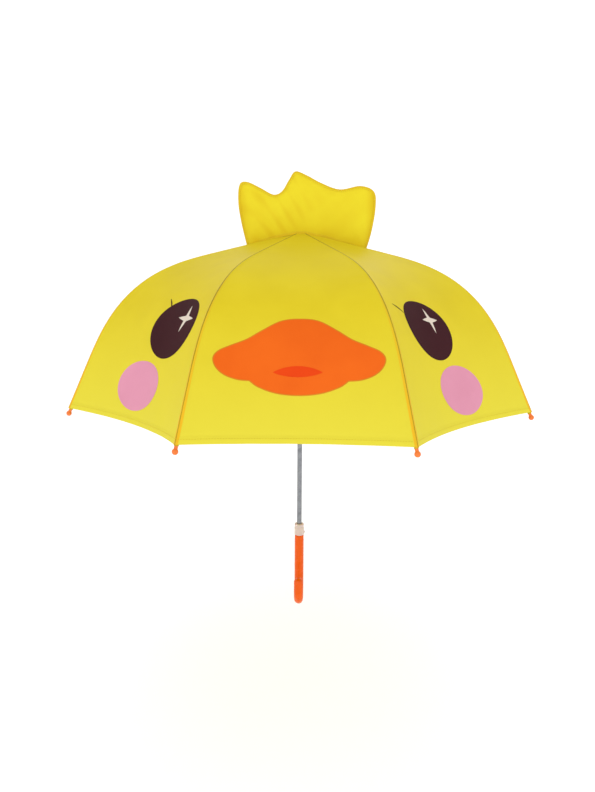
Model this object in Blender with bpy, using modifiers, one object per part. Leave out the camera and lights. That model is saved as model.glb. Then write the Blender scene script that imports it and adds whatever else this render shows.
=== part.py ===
"""Children's dome umbrella with a soft crest, eight bent ribs, a push-button runner and a crook handle.

The shaft stands on +Z. The origin is on the shaft's axis, half way down the straight part of the handle, and
the front of the canopy looks along -Y. All sizes are in metres and all angles in degrees. A rib's own pieces
are made once in the rib's plane, with +X pointing away from the shaft, and then turned round the shaft.
"""

import math

import bmesh
import bpy
import numpy as np
from mathutils import Matrix, Vector

# Overall
RIB_COUNT = 8
RIB_LENGTH = 0.473          # along the fabric, from the apex to the ball of the tip
APEX_HEIGHT = 0.540         # of the fabric's apex over the middle of the grip
CLEARANCE = 0.0003          # between pieces that meet
OVERCUT = 0.001             # how far a cutter runs past what it cuts

# Canopy
CROWN_SLOPE = 14.0          # fall of the ribs near the apex
SKIRT_SLOPE = 65.5          # fall of the ribs near the rim
BEND_START = 0.30           # share of the rib's length where the bend from crown to skirt starts
BEND_END = 0.84
FABRIC_THICKNESS = 0.0010
CROWN_HOLE_RADIUS = 0.0055
SEAM_GAP = 0.0018           # between neighbouring gores, over the rib
BAND_GAP = 0.0006           # between the inner and the outer band of a gore
BAND_SHARE = 0.50           # share of the rib's length where the two bands meet and the rib straightens
PANEL_SAG = 0.0245          # how far a gore sinks between its ribs at the rim
SAG_POWER = 1.5             # how fast that grows from the apex to the rim
HEM_CORNER_GAP = 0.014      # from the gore's corner to the ball of the tip
HEM_ARCH = 0.001            # how far the hem's middle is cut up along the gore

# Ribs, tips and stretchers
RIB_RADIUS = 0.0013
RIB_TO_FABRIC = 0.0014      # between a rib and the cloth over it
RIB_DEPTH = FABRIC_THICKNESS / 2.0 + RIB_TO_FABRIC + RIB_RADIUS
PIVOT_RADIUS = 0.009        # of the pivots of ribs and stretchers round the shaft
EYE_RADIUS = 0.0020
EYE_WIDTH = 0.0020
EYE_HOLE_RADIUS = 0.0009
EYE_OVERLAP = 0.0005        # of the rod's end with its eye
BEND_GAP = 0.0009           # from the elastic bend's centre to each half of the rib
LUG_SHARE = 0.40            # share of the rib's length where the stretcher is riveted
LUG_DROP = 0.0040           # of the rivet below the rib's centre line
LUG_WIDTH = 0.0014
RIVET_RADIUS = 0.0008
RIVET_HEAD_RADIUS = 0.0015
RIVET_HEAD_HEIGHT = 0.0006
CHANNEL_WALL = 0.0006
CHANNEL_GAP = 0.0004        # between the channel's walls and the rib that folds into it
CHANNEL_WIDTH = 2.0 * (RIB_RADIUS + CHANNEL_GAP + CHANNEL_WALL)
CHANNEL_DEPTH = 0.0030
FORK_LENGTH = 0.009
BLADE_LENGTH = 0.033        # of the flattened end that runs in the runner's slots
BLADE_WIDTH = 0.0020
TIP_BALL_RADIUS = 0.00375
TIP_WALL = 0.00065
TIP_STEM_RADIUS = RIB_RADIUS + CLEARANCE + TIP_WALL
TIP_STEM_LENGTH = 0.0125
TIP_SOCKET_LENGTH = 0.008

# Shaft and the pieces on its top
SHAFT_RADIUS = 0.004
SHAFT_WALL = 0.0006
SHAFT_RISE = 0.012          # of the shaft's top over the apex
LATCH_HOLE_WIDTH = 0.0032
LATCH_HOLE_HEIGHT = 0.0050
NOTCH_RADIUS = 0.0112
NOTCH_ABOVE_PIVOT = 0.0013
NOTCH_CONE_RISE = 0.0008    # of the notch's top, from its edge to its slots' floor
NOTCH_BELOW_PIVOT = 0.005
NOTCH_SLOT_FLOOR = 0.0062   # radius where the notch's slots end
NOTCH_SLOT_WIDTH = 2.0 * (RIB_RADIUS + CLEARANCE)
WIRE_RADIUS = 0.00045
CAP_RADIUS = 0.0060
CAP_HEIGHT = 0.0015
FERRULE_LENGTH = 0.036
FERRULE_BASE_RADIUS = 0.0055
FERRULE_END_RADIUS = 0.0032
FERRULE_FOOT_HEIGHT = 0.012  # of its straight part, under the taper
FERRULE_EDGE = 0.0010

# Runner and its button
FLANGE_RADIUS = 0.0125
FLANGE_ABOVE_PIVOT = 0.004
FLANGE_BELOW_PIVOT = 0.005
RUNNER_SLOT_WIDTH = 0.0028
RUNNER_SLOT_FLOOR = 0.0065
NECK_RADIUS = 0.0062
NECK_LENGTH = 0.057         # long enough for the stretchers' ends in mid-travel
GRIP_RADIUS = 0.011
GRIP_LENGTH = 0.026
GRIP_EDGE = 0.0020
BUTTON_WIDTH = 0.0080
BUTTON_HEIGHT = 0.0188
BUTTON_INNER = 0.0082       # distances from the shaft's axis
BUTTON_OUTER = 0.0106
BUTTON_PAD_OUTER = 0.0126
BUTTON_PIVOT = 0.0090
BUTTON_POCKET_FLOOR = 0.0056
BUTTON_GAP = 0.0006
PAD_INSET = 0.0008          # of the raised pad from the button's edges
PAD_BELOW_PIVOT = 0.0015
SEAT = 0.0005               # how far the button's parts run into its plate
TRUNNION_RADIUS = 0.0009
TRUNNION_HOLE_RADIUS = 0.0012
TRUNNION_REACH = 0.0014     # into each wall of the pocket
NOSE_WIDTH = 0.0024
NOSE_HEIGHT = 0.0025
NOSE_RISE = 0.0062          # of the latch nose over the button's pivot
STOP_RADIUS = 0.0058
STOP_HEIGHT = 0.003
CLOSED_RIB_ANGLE = 87.0     # of the line between a rib's two pivots when the umbrella is closed

# Handle and collar
HANDLE_RADIUS = 0.0075
HOOK_RADIUS = 0.024         # of the hook's centre line
STEM_ABOVE_ORIGIN = 0.0435
STEM_BELOW_ORIGIN = 0.0347
HOOK_END_LENGTH = 0.0229    # straight part after the hook's arc, with the rounded end
HOOK_END_SWEEP = 81.0       # of the rounded end, which leaves a small flat
SHAFT_IN_HANDLE = 0.038
COLLAR_RADIUS = 0.0080
COLLAR_LENGTH = 0.020
COLLAR_SHOULDER = 0.0015
COLLAR_LUG_SIZE = 0.0032
COLLAR_LUG_REACH = 0.0015   # into the collar and out of it
COLLAR_LUG_RISE = 0.003

# Crest and tie strap
CREST_THICKNESS = 0.014
CREST_BACK = 0.0068         # of its back face in front of the shaft's axis
STRAP_WIDTH = 0.018
STRAP_LENGTH = 0.075
STRAP_THICKNESS = 0.0016

# Smoothness
CURVE_SAMPLES = 400
ROUND_STEPS = 24
SMALL_STEPS = 10
HOOK_STEPS = 14
HOOK_END_STEPS = 4
BALL_STEPS = 6
HANDLE_BEVEL_RESOLUTION = 5
ROD_BEVEL_RESOLUTION = 2
BEND_STEPS = 8
LEAST_STEP_SHARE = 0.01     # of the rib's length between two stations
GORE_COLUMNS = 6

HALF_GORE = math.pi / RIB_COUNT


# Shapes that follow a rule


def rib_slope(share):
    """Fall of the rib in radians, at a share of its length from the apex."""
    along = np.clip((share - BEND_START) / (BEND_END - BEND_START), 0.0, 1.0)
    eased = along * along * (3.0 - 2.0 * along)
    return np.radians(CROWN_SLOPE + (SKIRT_SLOPE - CROWN_SLOPE) * eased)


def running_total(rate):
    """Integral of a rate that is sampled along the rib, by the trapezium rule."""
    steps = (rate[1:] + rate[:-1]) / 2.0 * RIB_LENGTH / CURVE_SAMPLES
    return np.concatenate([[0.0], np.cumsum(steps)])


SHARES = np.linspace(0.0, 1.0, CURVE_SAMPLES + 1)
FABRIC_RADII = running_total(np.cos(rib_slope(SHARES)))
FABRIC_FALLS = running_total(np.sin(rib_slope(SHARES)))


def rib_point(share, depth=0.0):
    """Radius and height of a point on the rib's line, at a depth below the fabric."""
    slope = float(rib_slope(share))
    radius = float(np.interp(share, SHARES, FABRIC_RADII)) - depth * math.sin(slope)
    fall = float(np.interp(share, SHARES, FABRIC_FALLS)) + depth * math.cos(slope)
    return Vector((radius, 0.0, APEX_HEIGHT - fall))


def share_at_pivot():
    """Share of the rib's length where its centre line passes the pivot radius."""
    crown = math.radians(CROWN_SLOPE)
    return (PIVOT_RADIUS + RIB_DEPTH * math.sin(crown)) / math.cos(crown) / RIB_LENGTH


RIB_PIVOT = rib_point(share_at_pivot(), RIB_DEPTH)
RIVET_POINT = rib_point(LUG_SHARE, RIB_DEPTH + LUG_DROP)
BEND_POINT = rib_point(BAND_SHARE, RIB_DEPTH)
STRETCHER_LENGTH = (RIVET_POINT - RIB_PIVOT).length
OPEN_RIB_ANGLE = math.asin((RIB_PIVOT.z - RIVET_POINT.z) / STRETCHER_LENGTH)
RUNNER_PIVOT_Z = RIB_PIVOT.z - 2.0 * STRETCHER_LENGTH * math.sin(OPEN_RIB_ANGLE)
RUNNER_TRAVEL = 2.0 * STRETCHER_LENGTH * (math.sin(math.radians(CLOSED_RIB_ANGLE)) - math.sin(OPEN_RIB_ANGLE))
GRIP_TOP_Z = RUNNER_PIVOT_Z - FLANGE_BELOW_PIVOT - NECK_LENGTH
BUTTON_Z = GRIP_TOP_Z - GRIP_LENGTH / 2.0


def gore_point(share, across):
    """Point of the gore after rib 0, where across runs from -1 at that rib to 1 at the next one."""
    edge = rib_point(share)
    slope = float(rib_slope(share))
    sag = PANEL_SAG * share**SAG_POWER * (1.0 - across * across)
    out = edge.x * math.cos(HALF_GORE) - sag * math.sin(slope)
    side = (edge.x * math.sin(HALF_GORE) - SEAM_GAP / 2.0) * across
    point = Vector((out, side, edge.z - sag * math.cos(slope)))
    return Matrix.Rotation(HALF_GORE, 3, "Z") @ point


def stations(first, last):
    """Shares of the rib's length where its pieces have their corners, so that fabric and ribs stay parallel."""
    bend = np.linspace(BEND_START, BEND_END, BEND_STEPS + 1)
    inside = [float(s) for s in bend if first + LEAST_STEP_SHARE < s < last - LEAST_STEP_SHARE]
    return [first, *inside, last]


def hem_share(across):
    """Share of the rib's length where the hem lies, with its middle cut up in an arch."""
    return 1.0 - (HEM_CORNER_GAP + HEM_ARCH * (1.0 - across * across)) / RIB_LENGTH


# Scene helpers


def clear_scene():
    for obj in list(bpy.data.objects):
        bpy.data.objects.remove(obj, do_unlink=True)


def new_collection(name):
    collection = bpy.data.collections.new(name)
    bpy.context.scene.collection.children.link(collection)
    return collection


def finish(name, colour, roughness, metallic=0.0, alpha=1.0):
    """A Principled material, with its colour given in linear values."""
    material = bpy.data.materials.new(name)
    material.use_nodes = True
    shader = material.node_tree.nodes["Principled BSDF"]
    shader.inputs["Base Color"].default_value = (*colour, 1.0)
    shader.inputs["Roughness"].default_value = roughness
    shader.inputs["Metallic"].default_value = metallic
    shader.inputs["Alpha"].default_value = alpha
    return material


def object_of(name, mesh, collection=None):
    obj = bpy.data.objects.new(name, mesh)
    (collection or PIECES).objects.link(obj)
    return obj


def mesh_of(name, bm):
    mesh = bpy.data.meshes.new(name)
    bm.to_mesh(mesh)
    bm.free()
    return mesh


def box(name, low, high, collection=None):
    """Box between two corners."""
    low, high = Vector(low), Vector(high)
    bm = bmesh.new()
    size = Matrix.Diagonal((*(high - low), 1.0))
    bmesh.ops.create_cube(bm, size=1.0, matrix=Matrix.Translation((low + high) / 2.0) @ size)
    return object_of(name, mesh_of(name, bm), collection)


def rod_across(name, centre, radius, half_length, steps=SMALL_STEPS, axis="Y", collection=None):
    """Cylinder through a point, along Y or X."""
    bm = bmesh.new()
    turn = Matrix.Rotation(math.pi / 2.0, 4, "X" if axis == "Y" else "Y")
    bmesh.ops.create_cone(
        bm, cap_ends=True, segments=steps, radius1=radius, radius2=radius,
        depth=2.0 * half_length, matrix=Matrix.Translation(centre) @ turn,
    )
    return object_of(name, mesh_of(name, bm), collection)


def turned(name, profile, steps=ROUND_STEPS, collection=None):
    """Body turned round Z. The closed profile of (radius, height) runs down its outer side."""
    bm = bmesh.new()
    points = [bm.verts.new((radius, 0.0, height)) for radius, height in profile]
    for start, end in zip(points, points[1:] + points[:1]):
        if start.co.x > 0.0 or end.co.x > 0.0:
            bm.edges.new((start, end))
    obj = object_of(name, mesh_of(name, bm), collection)
    screw = obj.modifiers.new("turn", "SCREW")
    screw.steps = screw.render_steps = steps
    screw.use_merge_vertices = True
    screw.merge_threshold = 0.00001
    return obj


def tube_along(name, points, radius, resolution, radii=None):
    """Round bar along a row of points, as a welded mesh."""
    curve = bpy.data.curves.new(name, "CURVE")
    curve.dimensions = "3D"
    curve.bevel_depth = radius
    curve.bevel_resolution = resolution
    curve.use_fill_caps = True
    spline = curve.splines.new("POLY")
    spline.points.add(len(points) - 1)
    for index, point in enumerate(points):
        spline.points[index].co = (*point, 1.0)
        spline.points[index].radius = radii[index] if radii else 1.0
    return welded(object_of(name, curve))


def evaluated_mesh(obj):
    graph = bpy.context.evaluated_depsgraph_get()
    return bpy.data.meshes.new_from_object(obj.evaluated_get(graph))


def welded(curve_object):
    """A mesh object in the place of a curve, with the curve's caps joined to its sides."""
    name, collection = curve_object.name, curve_object.users_collection[0]
    bpy.context.view_layer.update()
    mesh = evaluated_mesh(curve_object)
    mesh.transform(curve_object.matrix_world)
    bm = bmesh.new()
    bm.from_mesh(mesh)
    bmesh.ops.remove_doubles(bm, verts=bm.verts, dist=0.00001)
    bmesh.ops.recalc_face_normals(bm, faces=bm.faces)
    bm.to_mesh(mesh)
    bm.free()
    bpy.data.objects.remove(curve_object, do_unlink=True)
    obj = object_of(name, mesh, collection)
    obj.name = name
    return obj


def combine(obj, other, operation):
    """Boolean with another object, which becomes a hidden guide."""
    modifier = obj.modifiers.new(other.name, "BOOLEAN")
    modifier.operation = operation
    modifier.solver = "EXACT"
    modifier.object = other
    other.hide_render = True
    other.display_type = "WIRE"
    return obj


def cut(obj, other):
    return combine(obj, other, "DIFFERENCE")


def join(obj, other):
    return combine(obj, other, "UNION")


def shade(mesh, angle=35.0):
    mesh.shade_smooth()
    mesh.set_sharp_from_angle(angle=math.radians(angle))


def settle(obj, material, origin=None):
    """Turns the object's modifiers into plain mesh, moves its origin and gives it its material."""
    bpy.context.view_layer.update()
    mesh = evaluated_mesh(obj)
    obj.modifiers.clear()
    obj.data = mesh
    mesh.materials.clear()
    mesh.materials.append(material)
    if origin is not None:
        mesh.transform(Matrix.Translation(-Vector(origin)))
        obj.location = origin
    shade(mesh)
    return obj


def repeat_round_shaft(pattern, name):
    """Turns a rib's piece into RIB_COUNT named objects that share its mesh."""
    for index in range(RIB_COUNT):
        azimuth = HALF_GORE * (2 * index + 1)
        obj = object_of(f"{name}_{index + 1}", pattern.data)
        turn = Matrix.Rotation(azimuth, 4, "Z")
        obj.location = turn @ pattern.location
        obj.rotation_euler = (0.0, 0.0, azimuth)
    bpy.data.objects.remove(pattern, do_unlink=True)


def slot_cutters(body, floor_radius, outer_radius, width, low, high):
    """Cuts one radial slot for each rib."""
    for index in range(RIB_COUNT):
        corner_low = (floor_radius, -width / 2.0, low)
        corner_high = (outer_radius, width / 2.0, high)
        cutter = box(f"{body.name}_slot_{index + 1}", corner_low, corner_high, CUTTERS)
        cutter.data.transform(Matrix.Rotation(HALF_GORE * (2 * index + 1), 4, "Z"))
        cut(body, cutter)


# The fixed pieces


def make_shaft(material):
    """Steel tube with a latch hole for each end of the runner's travel."""
    bottom = STEM_ABOVE_ORIGIN - SHAFT_IN_HANDLE
    top = APEX_HEIGHT + SHAFT_RISE
    bore = SHAFT_RADIUS - SHAFT_WALL
    tube = turned("shaft", [(SHAFT_RADIUS, top), (SHAFT_RADIUS, bottom), (bore, bottom), (bore, top)])
    for index, travelled in enumerate((0.0, RUNNER_TRAVEL)):
        height = BUTTON_Z + NOSE_RISE - travelled
        hole = box(
            f"latch_hole_{index + 1}",
            (-LATCH_HOLE_WIDTH / 2.0, 0.0, height - LATCH_HOLE_HEIGHT / 2.0),
            (LATCH_HOLE_WIDTH / 2.0, 2.0 * SHAFT_RADIUS, height + LATCH_HOLE_HEIGHT / 2.0),
            CUTTERS,
        )
        cut(tube, hole)
    settle(tube, material)


def make_top_notch(material):
    """Slotted ring that holds the ribs, with a groove for the wire they turn on."""
    edge = RIB_PIVOT.z + NOTCH_ABOVE_PIVOT
    top = edge + NOTCH_CONE_RISE
    bottom = RIB_PIVOT.z - NOTCH_BELOW_PIVOT
    bore = SHAFT_RADIUS + CLEARANCE
    groove_floor = PIVOT_RADIUS - WIRE_RADIUS - CLEARANCE
    groove_half = WIRE_RADIUS + CLEARANCE
    profile = [
        (NOTCH_SLOT_FLOOR, top),
        (NOTCH_RADIUS, edge),
        (NOTCH_RADIUS, RIB_PIVOT.z + groove_half),
        (groove_floor, RIB_PIVOT.z + groove_half),
        (groove_floor, RIB_PIVOT.z - groove_half),
        (NOTCH_RADIUS, RIB_PIVOT.z - groove_half),
        (NOTCH_RADIUS, bottom),
        (bore, bottom),
        (bore, top),
    ]
    notch = turned("top_notch", profile, steps=ROUND_STEPS)
    slot_cutters(notch, NOTCH_SLOT_FLOOR, 2.0 * NOTCH_RADIUS, NOTCH_SLOT_WIDTH, bottom - OVERCUT, top + OVERCUT)
    settle(notch, material)


def make_notch_wire(material):
    """Ring of wire through the eyes of all the ribs."""
    bpy.ops.mesh.primitive_torus_add(
        major_radius=PIVOT_RADIUS, minor_radius=WIRE_RADIUS, major_segments=32,
        minor_segments=5, location=(0.0, 0.0, RIB_PIVOT.z),
    )
    ring = bpy.context.object
    ring.name = "notch_wire"
    for collection in list(ring.users_collection):
        collection.objects.unlink(ring)
    PIECES.objects.link(ring)
    ring.data.materials.append(material)
    shade(ring.data)


def make_crown_cap(material):
    """Washer that holds the canopy's centre down round the shaft."""
    base = APEX_HEIGHT + FABRIC_THICKNESS / 2.0 + CLEARANCE
    bore = SHAFT_RADIUS + CLEARANCE
    edge = CAP_HEIGHT / 3.0
    top = base + CAP_HEIGHT
    profile = [(CAP_RADIUS - edge, top), (CAP_RADIUS, top - edge), (CAP_RADIUS, base), (bore, base), (bore, top)]
    settle(turned("crown_cap", profile), material)


def make_ferrule(material):
    """Closed plastic end on the top of the shaft."""
    base = APEX_HEIGHT + FABRIC_THICKNESS / 2.0 + CAP_HEIGHT + 2.0 * CLEARANCE
    top = base + FERRULE_LENGTH
    bore = SHAFT_RADIUS + CLEARANCE
    bore_top = APEX_HEIGHT + SHAFT_RISE + CLEARANCE
    profile = [
        (0.0, top),
        (FERRULE_END_RADIUS - FERRULE_EDGE, top),
        (FERRULE_END_RADIUS, top - FERRULE_EDGE),
        (FERRULE_BASE_RADIUS, base + FERRULE_FOOT_HEIGHT),
        (FERRULE_BASE_RADIUS, base),
        (bore, base),
        (bore, bore_top),
        (0.0, bore_top),
    ]
    settle(turned("ferrule", profile), material)


def make_runner_stop(material):
    """Ring crimped on the shaft that ends the runner's upward travel."""
    base = RUNNER_PIVOT_Z + FLANGE_ABOVE_PIVOT + 2.0 * CLEARANCE
    bore = SHAFT_RADIUS + CLEARANCE
    top = base + STOP_HEIGHT
    settle(turned("runner_stop", [(STOP_RADIUS, top), (STOP_RADIUS, base), (bore, base), (bore, top)]), material)


def hook_points():
    """Centre line of the handle with the radius share at each point, from the top to the rounded end."""
    points = [Vector((0.0, 0.0, STEM_ABOVE_ORIGIN)), Vector((0.0, 0.0, 0.0))]
    shares = [1.0, 1.0]
    for step in range(HOOK_STEPS + 1):
        angle = math.pi * step / HOOK_STEPS
        out = -HOOK_RADIUS * (1.0 - math.cos(angle))
        down = -STEM_BELOW_ORIGIN - HOOK_RADIUS * math.sin(angle)
        points.append(Vector((0.0, out, down)))
        shares.append(1.0)
    straight = HOOK_END_LENGTH - HANDLE_RADIUS
    for step in range(HOOK_END_STEPS + 1):
        angle = math.radians(HOOK_END_SWEEP) * step / HOOK_END_STEPS
        rise = straight + HANDLE_RADIUS * math.sin(angle)
        points.append(Vector((0.0, -2.0 * HOOK_RADIUS, -STEM_BELOW_ORIGIN + rise)))
        shares.append(math.cos(angle))
    return points, shares


def make_handle(material):
    """Crook handle with a blind bore for the shaft."""
    points, shares = hook_points()
    handle = tube_along("handle", points, HANDLE_RADIUS, HANDLE_BEVEL_RESOLUTION, shares)
    bottom = STEM_ABOVE_ORIGIN - SHAFT_IN_HANDLE - CLEARANCE
    bore_radius = SHAFT_RADIUS + CLEARANCE
    over = STEM_ABOVE_ORIGIN + OVERCUT
    profile = [(0.0, over), (bore_radius, over), (bore_radius, bottom), (0.0, bottom)]
    cut(handle, turned("handle_bore", profile, collection=CUTTERS))
    settle(handle, material)


def make_handle_collar(material):
    """Sleeve over the joint of shaft and handle, with a small lug at its side."""
    base = STEM_ABOVE_ORIGIN + CLEARANCE
    top = base + COLLAR_LENGTH
    bore = SHAFT_RADIUS + CLEARANCE
    profile = [
        (COLLAR_RADIUS - COLLAR_SHOULDER, top),
        (COLLAR_RADIUS, top - COLLAR_SHOULDER),
        (COLLAR_RADIUS, base),
        (bore, base),
        (bore, top),
    ]
    collar = turned("handle_collar", profile)
    lug = box(
        "collar_lug",
        (COLLAR_RADIUS - COLLAR_LUG_REACH, -COLLAR_LUG_SIZE / 2.0, base + COLLAR_LUG_RISE),
        (COLLAR_RADIUS + COLLAR_LUG_REACH, COLLAR_LUG_SIZE / 2.0, base + COLLAR_LUG_RISE + COLLAR_LUG_SIZE),
        CUTTERS,
    )
    settle(join(collar, lug), material)


def crest_outline():
    """Front outline of the crest from its left foot over its three lobes to its right foot.

    Points are (sideways, height over the apex). The foot follows the slope of the canopy.
    """
    return [
        (-0.084, -0.0185),
        (-0.093, 0.0120),
        (-0.096, 0.0420),
        (-0.092, 0.0670),
        (-0.081, 0.0710),
        (-0.061, 0.0620),
        (-0.042, 0.0525),
        (-0.028, 0.0580),
        (-0.017, 0.0760),
        (-0.008, 0.0865),
        (0.009, 0.0800),
        (0.030, 0.0700),
        (0.058, 0.0605),
        (0.090, 0.0660),
        (0.110, 0.0560),
        (0.113, 0.0350),
        (0.108, 0.0000),
        (0.101, -0.0225),
        (0.052, -0.0090),
        (0.000, 0.0015),
        (-0.048, -0.0080),
    ]


def make_crest(material):
    """Soft upright crest that stands across the crown in front of the ferrule."""
    curve = bpy.data.curves.new("crest", "CURVE")
    curve.dimensions = "2D"
    curve.fill_mode = "BOTH"
    curve.extrude = CREST_THICKNESS / 2.0
    curve.resolution_u = 2
    spline = curve.splines.new("BEZIER")
    outline = crest_outline()
    spline.bezier_points.add(len(outline) - 1)
    for knot, (sideways, height) in zip(spline.bezier_points, outline):
        knot.co = (sideways, height, 0.0)
        knot.handle_left_type = knot.handle_right_type = "AUTO"
    spline.use_cyclic_u = True
    crest = object_of("crest", curve)
    crest.rotation_euler = (math.pi / 2.0, 0.0, 0.0)
    crest.location = (0.0, -CREST_BACK - CREST_THICKNESS / 2.0, APEX_HEIGHT)
    settle(welded(crest), material)


# The runner and its button


def make_runner(material):
    """Sliding sleeve: slotted flange, slim neck, and a grip with a pocket for the button."""
    bore = SHAFT_RADIUS + CLEARANCE
    flange_top = RUNNER_PIVOT_Z + FLANGE_ABOVE_PIVOT
    flange_bottom = RUNNER_PIVOT_Z - FLANGE_BELOW_PIVOT
    bottom = GRIP_TOP_Z - GRIP_LENGTH
    profile = [
        (FLANGE_RADIUS, flange_top),
        (FLANGE_RADIUS, flange_bottom),
        (NECK_RADIUS, flange_bottom),
        (NECK_RADIUS, GRIP_TOP_Z),
        (GRIP_RADIUS - GRIP_EDGE, GRIP_TOP_Z),
        (GRIP_RADIUS, GRIP_TOP_Z - GRIP_EDGE),
        (GRIP_RADIUS, bottom + GRIP_EDGE),
        (GRIP_RADIUS - GRIP_EDGE, bottom),
        (bore, bottom),
        (bore, flange_top),
    ]
    runner = turned("runner", profile, steps=ROUND_STEPS)
    slot_cutters(
        runner, RUNNER_SLOT_FLOOR, 2.0 * FLANGE_RADIUS, RUNNER_SLOT_WIDTH,
        flange_bottom - OVERCUT, flange_top + OVERCUT,
    )
    half_width = BUTTON_WIDTH / 2.0 + BUTTON_GAP
    half_height = BUTTON_HEIGHT / 2.0 + BUTTON_GAP
    pocket = box(
        "button_pocket",
        (-half_width, BUTTON_POCKET_FLOOR, BUTTON_Z - half_height),
        (half_width, 2.0 * GRIP_RADIUS, BUTTON_Z + half_height),
        CUTTERS,
    )
    nose_gap = NOSE_HEIGHT / 2.0 + 2.0 * BUTTON_GAP
    nose_hole = box(
        "nose_hole",
        (-NOSE_WIDTH / 2.0 - BUTTON_GAP, 0.0, BUTTON_Z + NOSE_RISE - nose_gap),
        (NOSE_WIDTH / 2.0 + BUTTON_GAP, BUTTON_POCKET_FLOOR + OVERCUT, BUTTON_Z + NOSE_RISE + nose_gap),
        CUTTERS,
    )
    trunnion_hole = rod_across(
        "trunnion_hole", (0.0, BUTTON_PIVOT, BUTTON_Z), TRUNNION_HOLE_RADIUS,
        half_width + TRUNNION_REACH, axis="X", collection=CUTTERS,
    )
    for cutter in (pocket, nose_hole, trunnion_hole):
        cut(runner, cutter)
    settle(runner, material, (0.0, 0.0, RUNNER_PIVOT_Z))


def make_runner_button(material):
    """Rocker: pressing its lower pad lifts the latch nose at its upper end away from the shaft."""
    half_width = BUTTON_WIDTH / 2.0
    plate = box(
        "runner_button",
        (-half_width, BUTTON_INNER, BUTTON_Z - BUTTON_HEIGHT / 2.0),
        (half_width, BUTTON_OUTER, BUTTON_Z + BUTTON_HEIGHT / 2.0),
    )
    pad = box(
        "button_pad",
        (-half_width + PAD_INSET, BUTTON_OUTER - SEAT, BUTTON_Z - BUTTON_HEIGHT / 2.0 + PAD_INSET),
        (half_width - PAD_INSET, BUTTON_PAD_OUTER, BUTTON_Z - PAD_BELOW_PIVOT),
        CUTTERS,
    )
    nose = box(
        "button_nose",
        (-NOSE_WIDTH / 2.0, SHAFT_RADIUS + 2.0 * CLEARANCE, BUTTON_Z + NOSE_RISE - NOSE_HEIGHT / 2.0),
        (NOSE_WIDTH / 2.0, BUTTON_INNER + SEAT, BUTTON_Z + NOSE_RISE + NOSE_HEIGHT / 2.0),
        CUTTERS,
    )
    trunnions = rod_across(
        "button_trunnions", (0.0, BUTTON_PIVOT, BUTTON_Z), TRUNNION_RADIUS,
        half_width + BUTTON_GAP + TRUNNION_REACH - CLEARANCE, axis="X", collection=CUTTERS,
    )
    for piece in (pad, nose, trunnions):
        join(plate, piece)
    settle(plate, material, (0.0, BUTTON_PIVOT, BUTTON_Z))


# The pieces of a rib, made in the plane of rib 0 and then repeated


def rod_points(start, end):
    """Points on the rib's centre line between two shares of its length."""
    return [rib_point(share, RIB_DEPTH) for share in stations(start, end)]


def make_rib_inner(material):
    """Inner half of a rib, with the eye at the notch and the riveted lug of the stretcher."""
    start = share_at_pivot() + (EYE_RADIUS - EYE_OVERLAP) / RIB_LENGTH
    end = BAND_SHARE - BEND_GAP / RIB_LENGTH
    rib = tube_along("rib_inner", rod_points(start, end), RIB_RADIUS, ROD_BEVEL_RESOLUTION)
    eye = rod_across("rib_eye", RIB_PIVOT, EYE_RADIUS, EYE_WIDTH / 2.0, collection=CUTTERS)
    slope = float(rib_slope(LUG_SHARE))
    lug = box(
        "rib_lug",
        (-LUG_DROP / 2.0, -LUG_WIDTH / 2.0, -EYE_RADIUS),
        (LUG_DROP / 2.0, LUG_WIDTH / 2.0, LUG_DROP),
        CUTTERS,
    )
    lug.data.transform(Matrix.Translation(RIVET_POINT) @ Matrix.Rotation(slope, 4, "Y"))
    half_grip = CHANNEL_WIDTH / 2.0 + CLEARANCE + RIVET_HEAD_HEIGHT
    rivet = rod_across("rivet", RIVET_POINT, RIVET_RADIUS, half_grip, collection=CUTTERS)
    joined = [eye, lug, rivet]
    for side in (-1.0, 1.0):
        middle = RIVET_POINT + Vector((0.0, side * (half_grip - RIVET_HEAD_HEIGHT / 2.0), 0.0))
        head = rod_across("rivet_head", middle, RIVET_HEAD_RADIUS, RIVET_HEAD_HEIGHT / 2.0, collection=CUTTERS)
        joined.append(head)
    for piece in joined:
        join(rib, piece)
    hole = rod_across("rib_eye_hole", RIB_PIVOT, EYE_HOLE_RADIUS, EYE_WIDTH, collection=CUTTERS)
    cut(rib, hole)
    repeat_round_shaft(settle(rib, material, RIB_PIVOT), "rib_inner")


def make_rib_outer(material):
    """Outer half of a rib, from the elastic bend into the tip."""
    start = BAND_SHARE + BEND_GAP / RIB_LENGTH
    end = 1.0 - (TIP_STEM_LENGTH - TIP_SOCKET_LENGTH + CLEARANCE) / RIB_LENGTH
    rib = tube_along("rib_outer", rod_points(start, end), RIB_RADIUS, ROD_BEVEL_RESOLUTION)
    repeat_round_shaft(settle(rib, material, BEND_POINT), "rib_outer")


def make_rib_tip(material):
    """Ball with a hollow stem that the rib's end is pressed into."""
    socket = RIB_RADIUS + CLEARANCE
    socket_floor = -TIP_STEM_LENGTH + TIP_SOCKET_LENGTH
    joint_angle = math.asin(TIP_STEM_RADIUS / TIP_BALL_RADIUS)
    profile = []
    for step in range(BALL_STEPS + 1):
        angle = (math.pi - joint_angle) * step / BALL_STEPS
        profile.append((TIP_BALL_RADIUS * math.sin(angle), TIP_BALL_RADIUS * math.cos(angle)))
    profile += [
        (TIP_STEM_RADIUS, -TIP_STEM_LENGTH),
        (socket, -TIP_STEM_LENGTH),
        (socket, socket_floor),
        (0.0, socket_floor),
    ]
    tip = turned("rib_tip", profile, steps=SMALL_STEPS)
    settle(tip, material)
    direction = math.radians(90.0 + SKIRT_SLOPE)
    place = Matrix.Translation(rib_point(1.0, RIB_DEPTH) - BEND_POINT) @ Matrix.Rotation(direction, 4, "Y")
    tip.data.transform(place)
    tip.location = BEND_POINT
    repeat_round_shaft(tip, "rib_tip")


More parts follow.
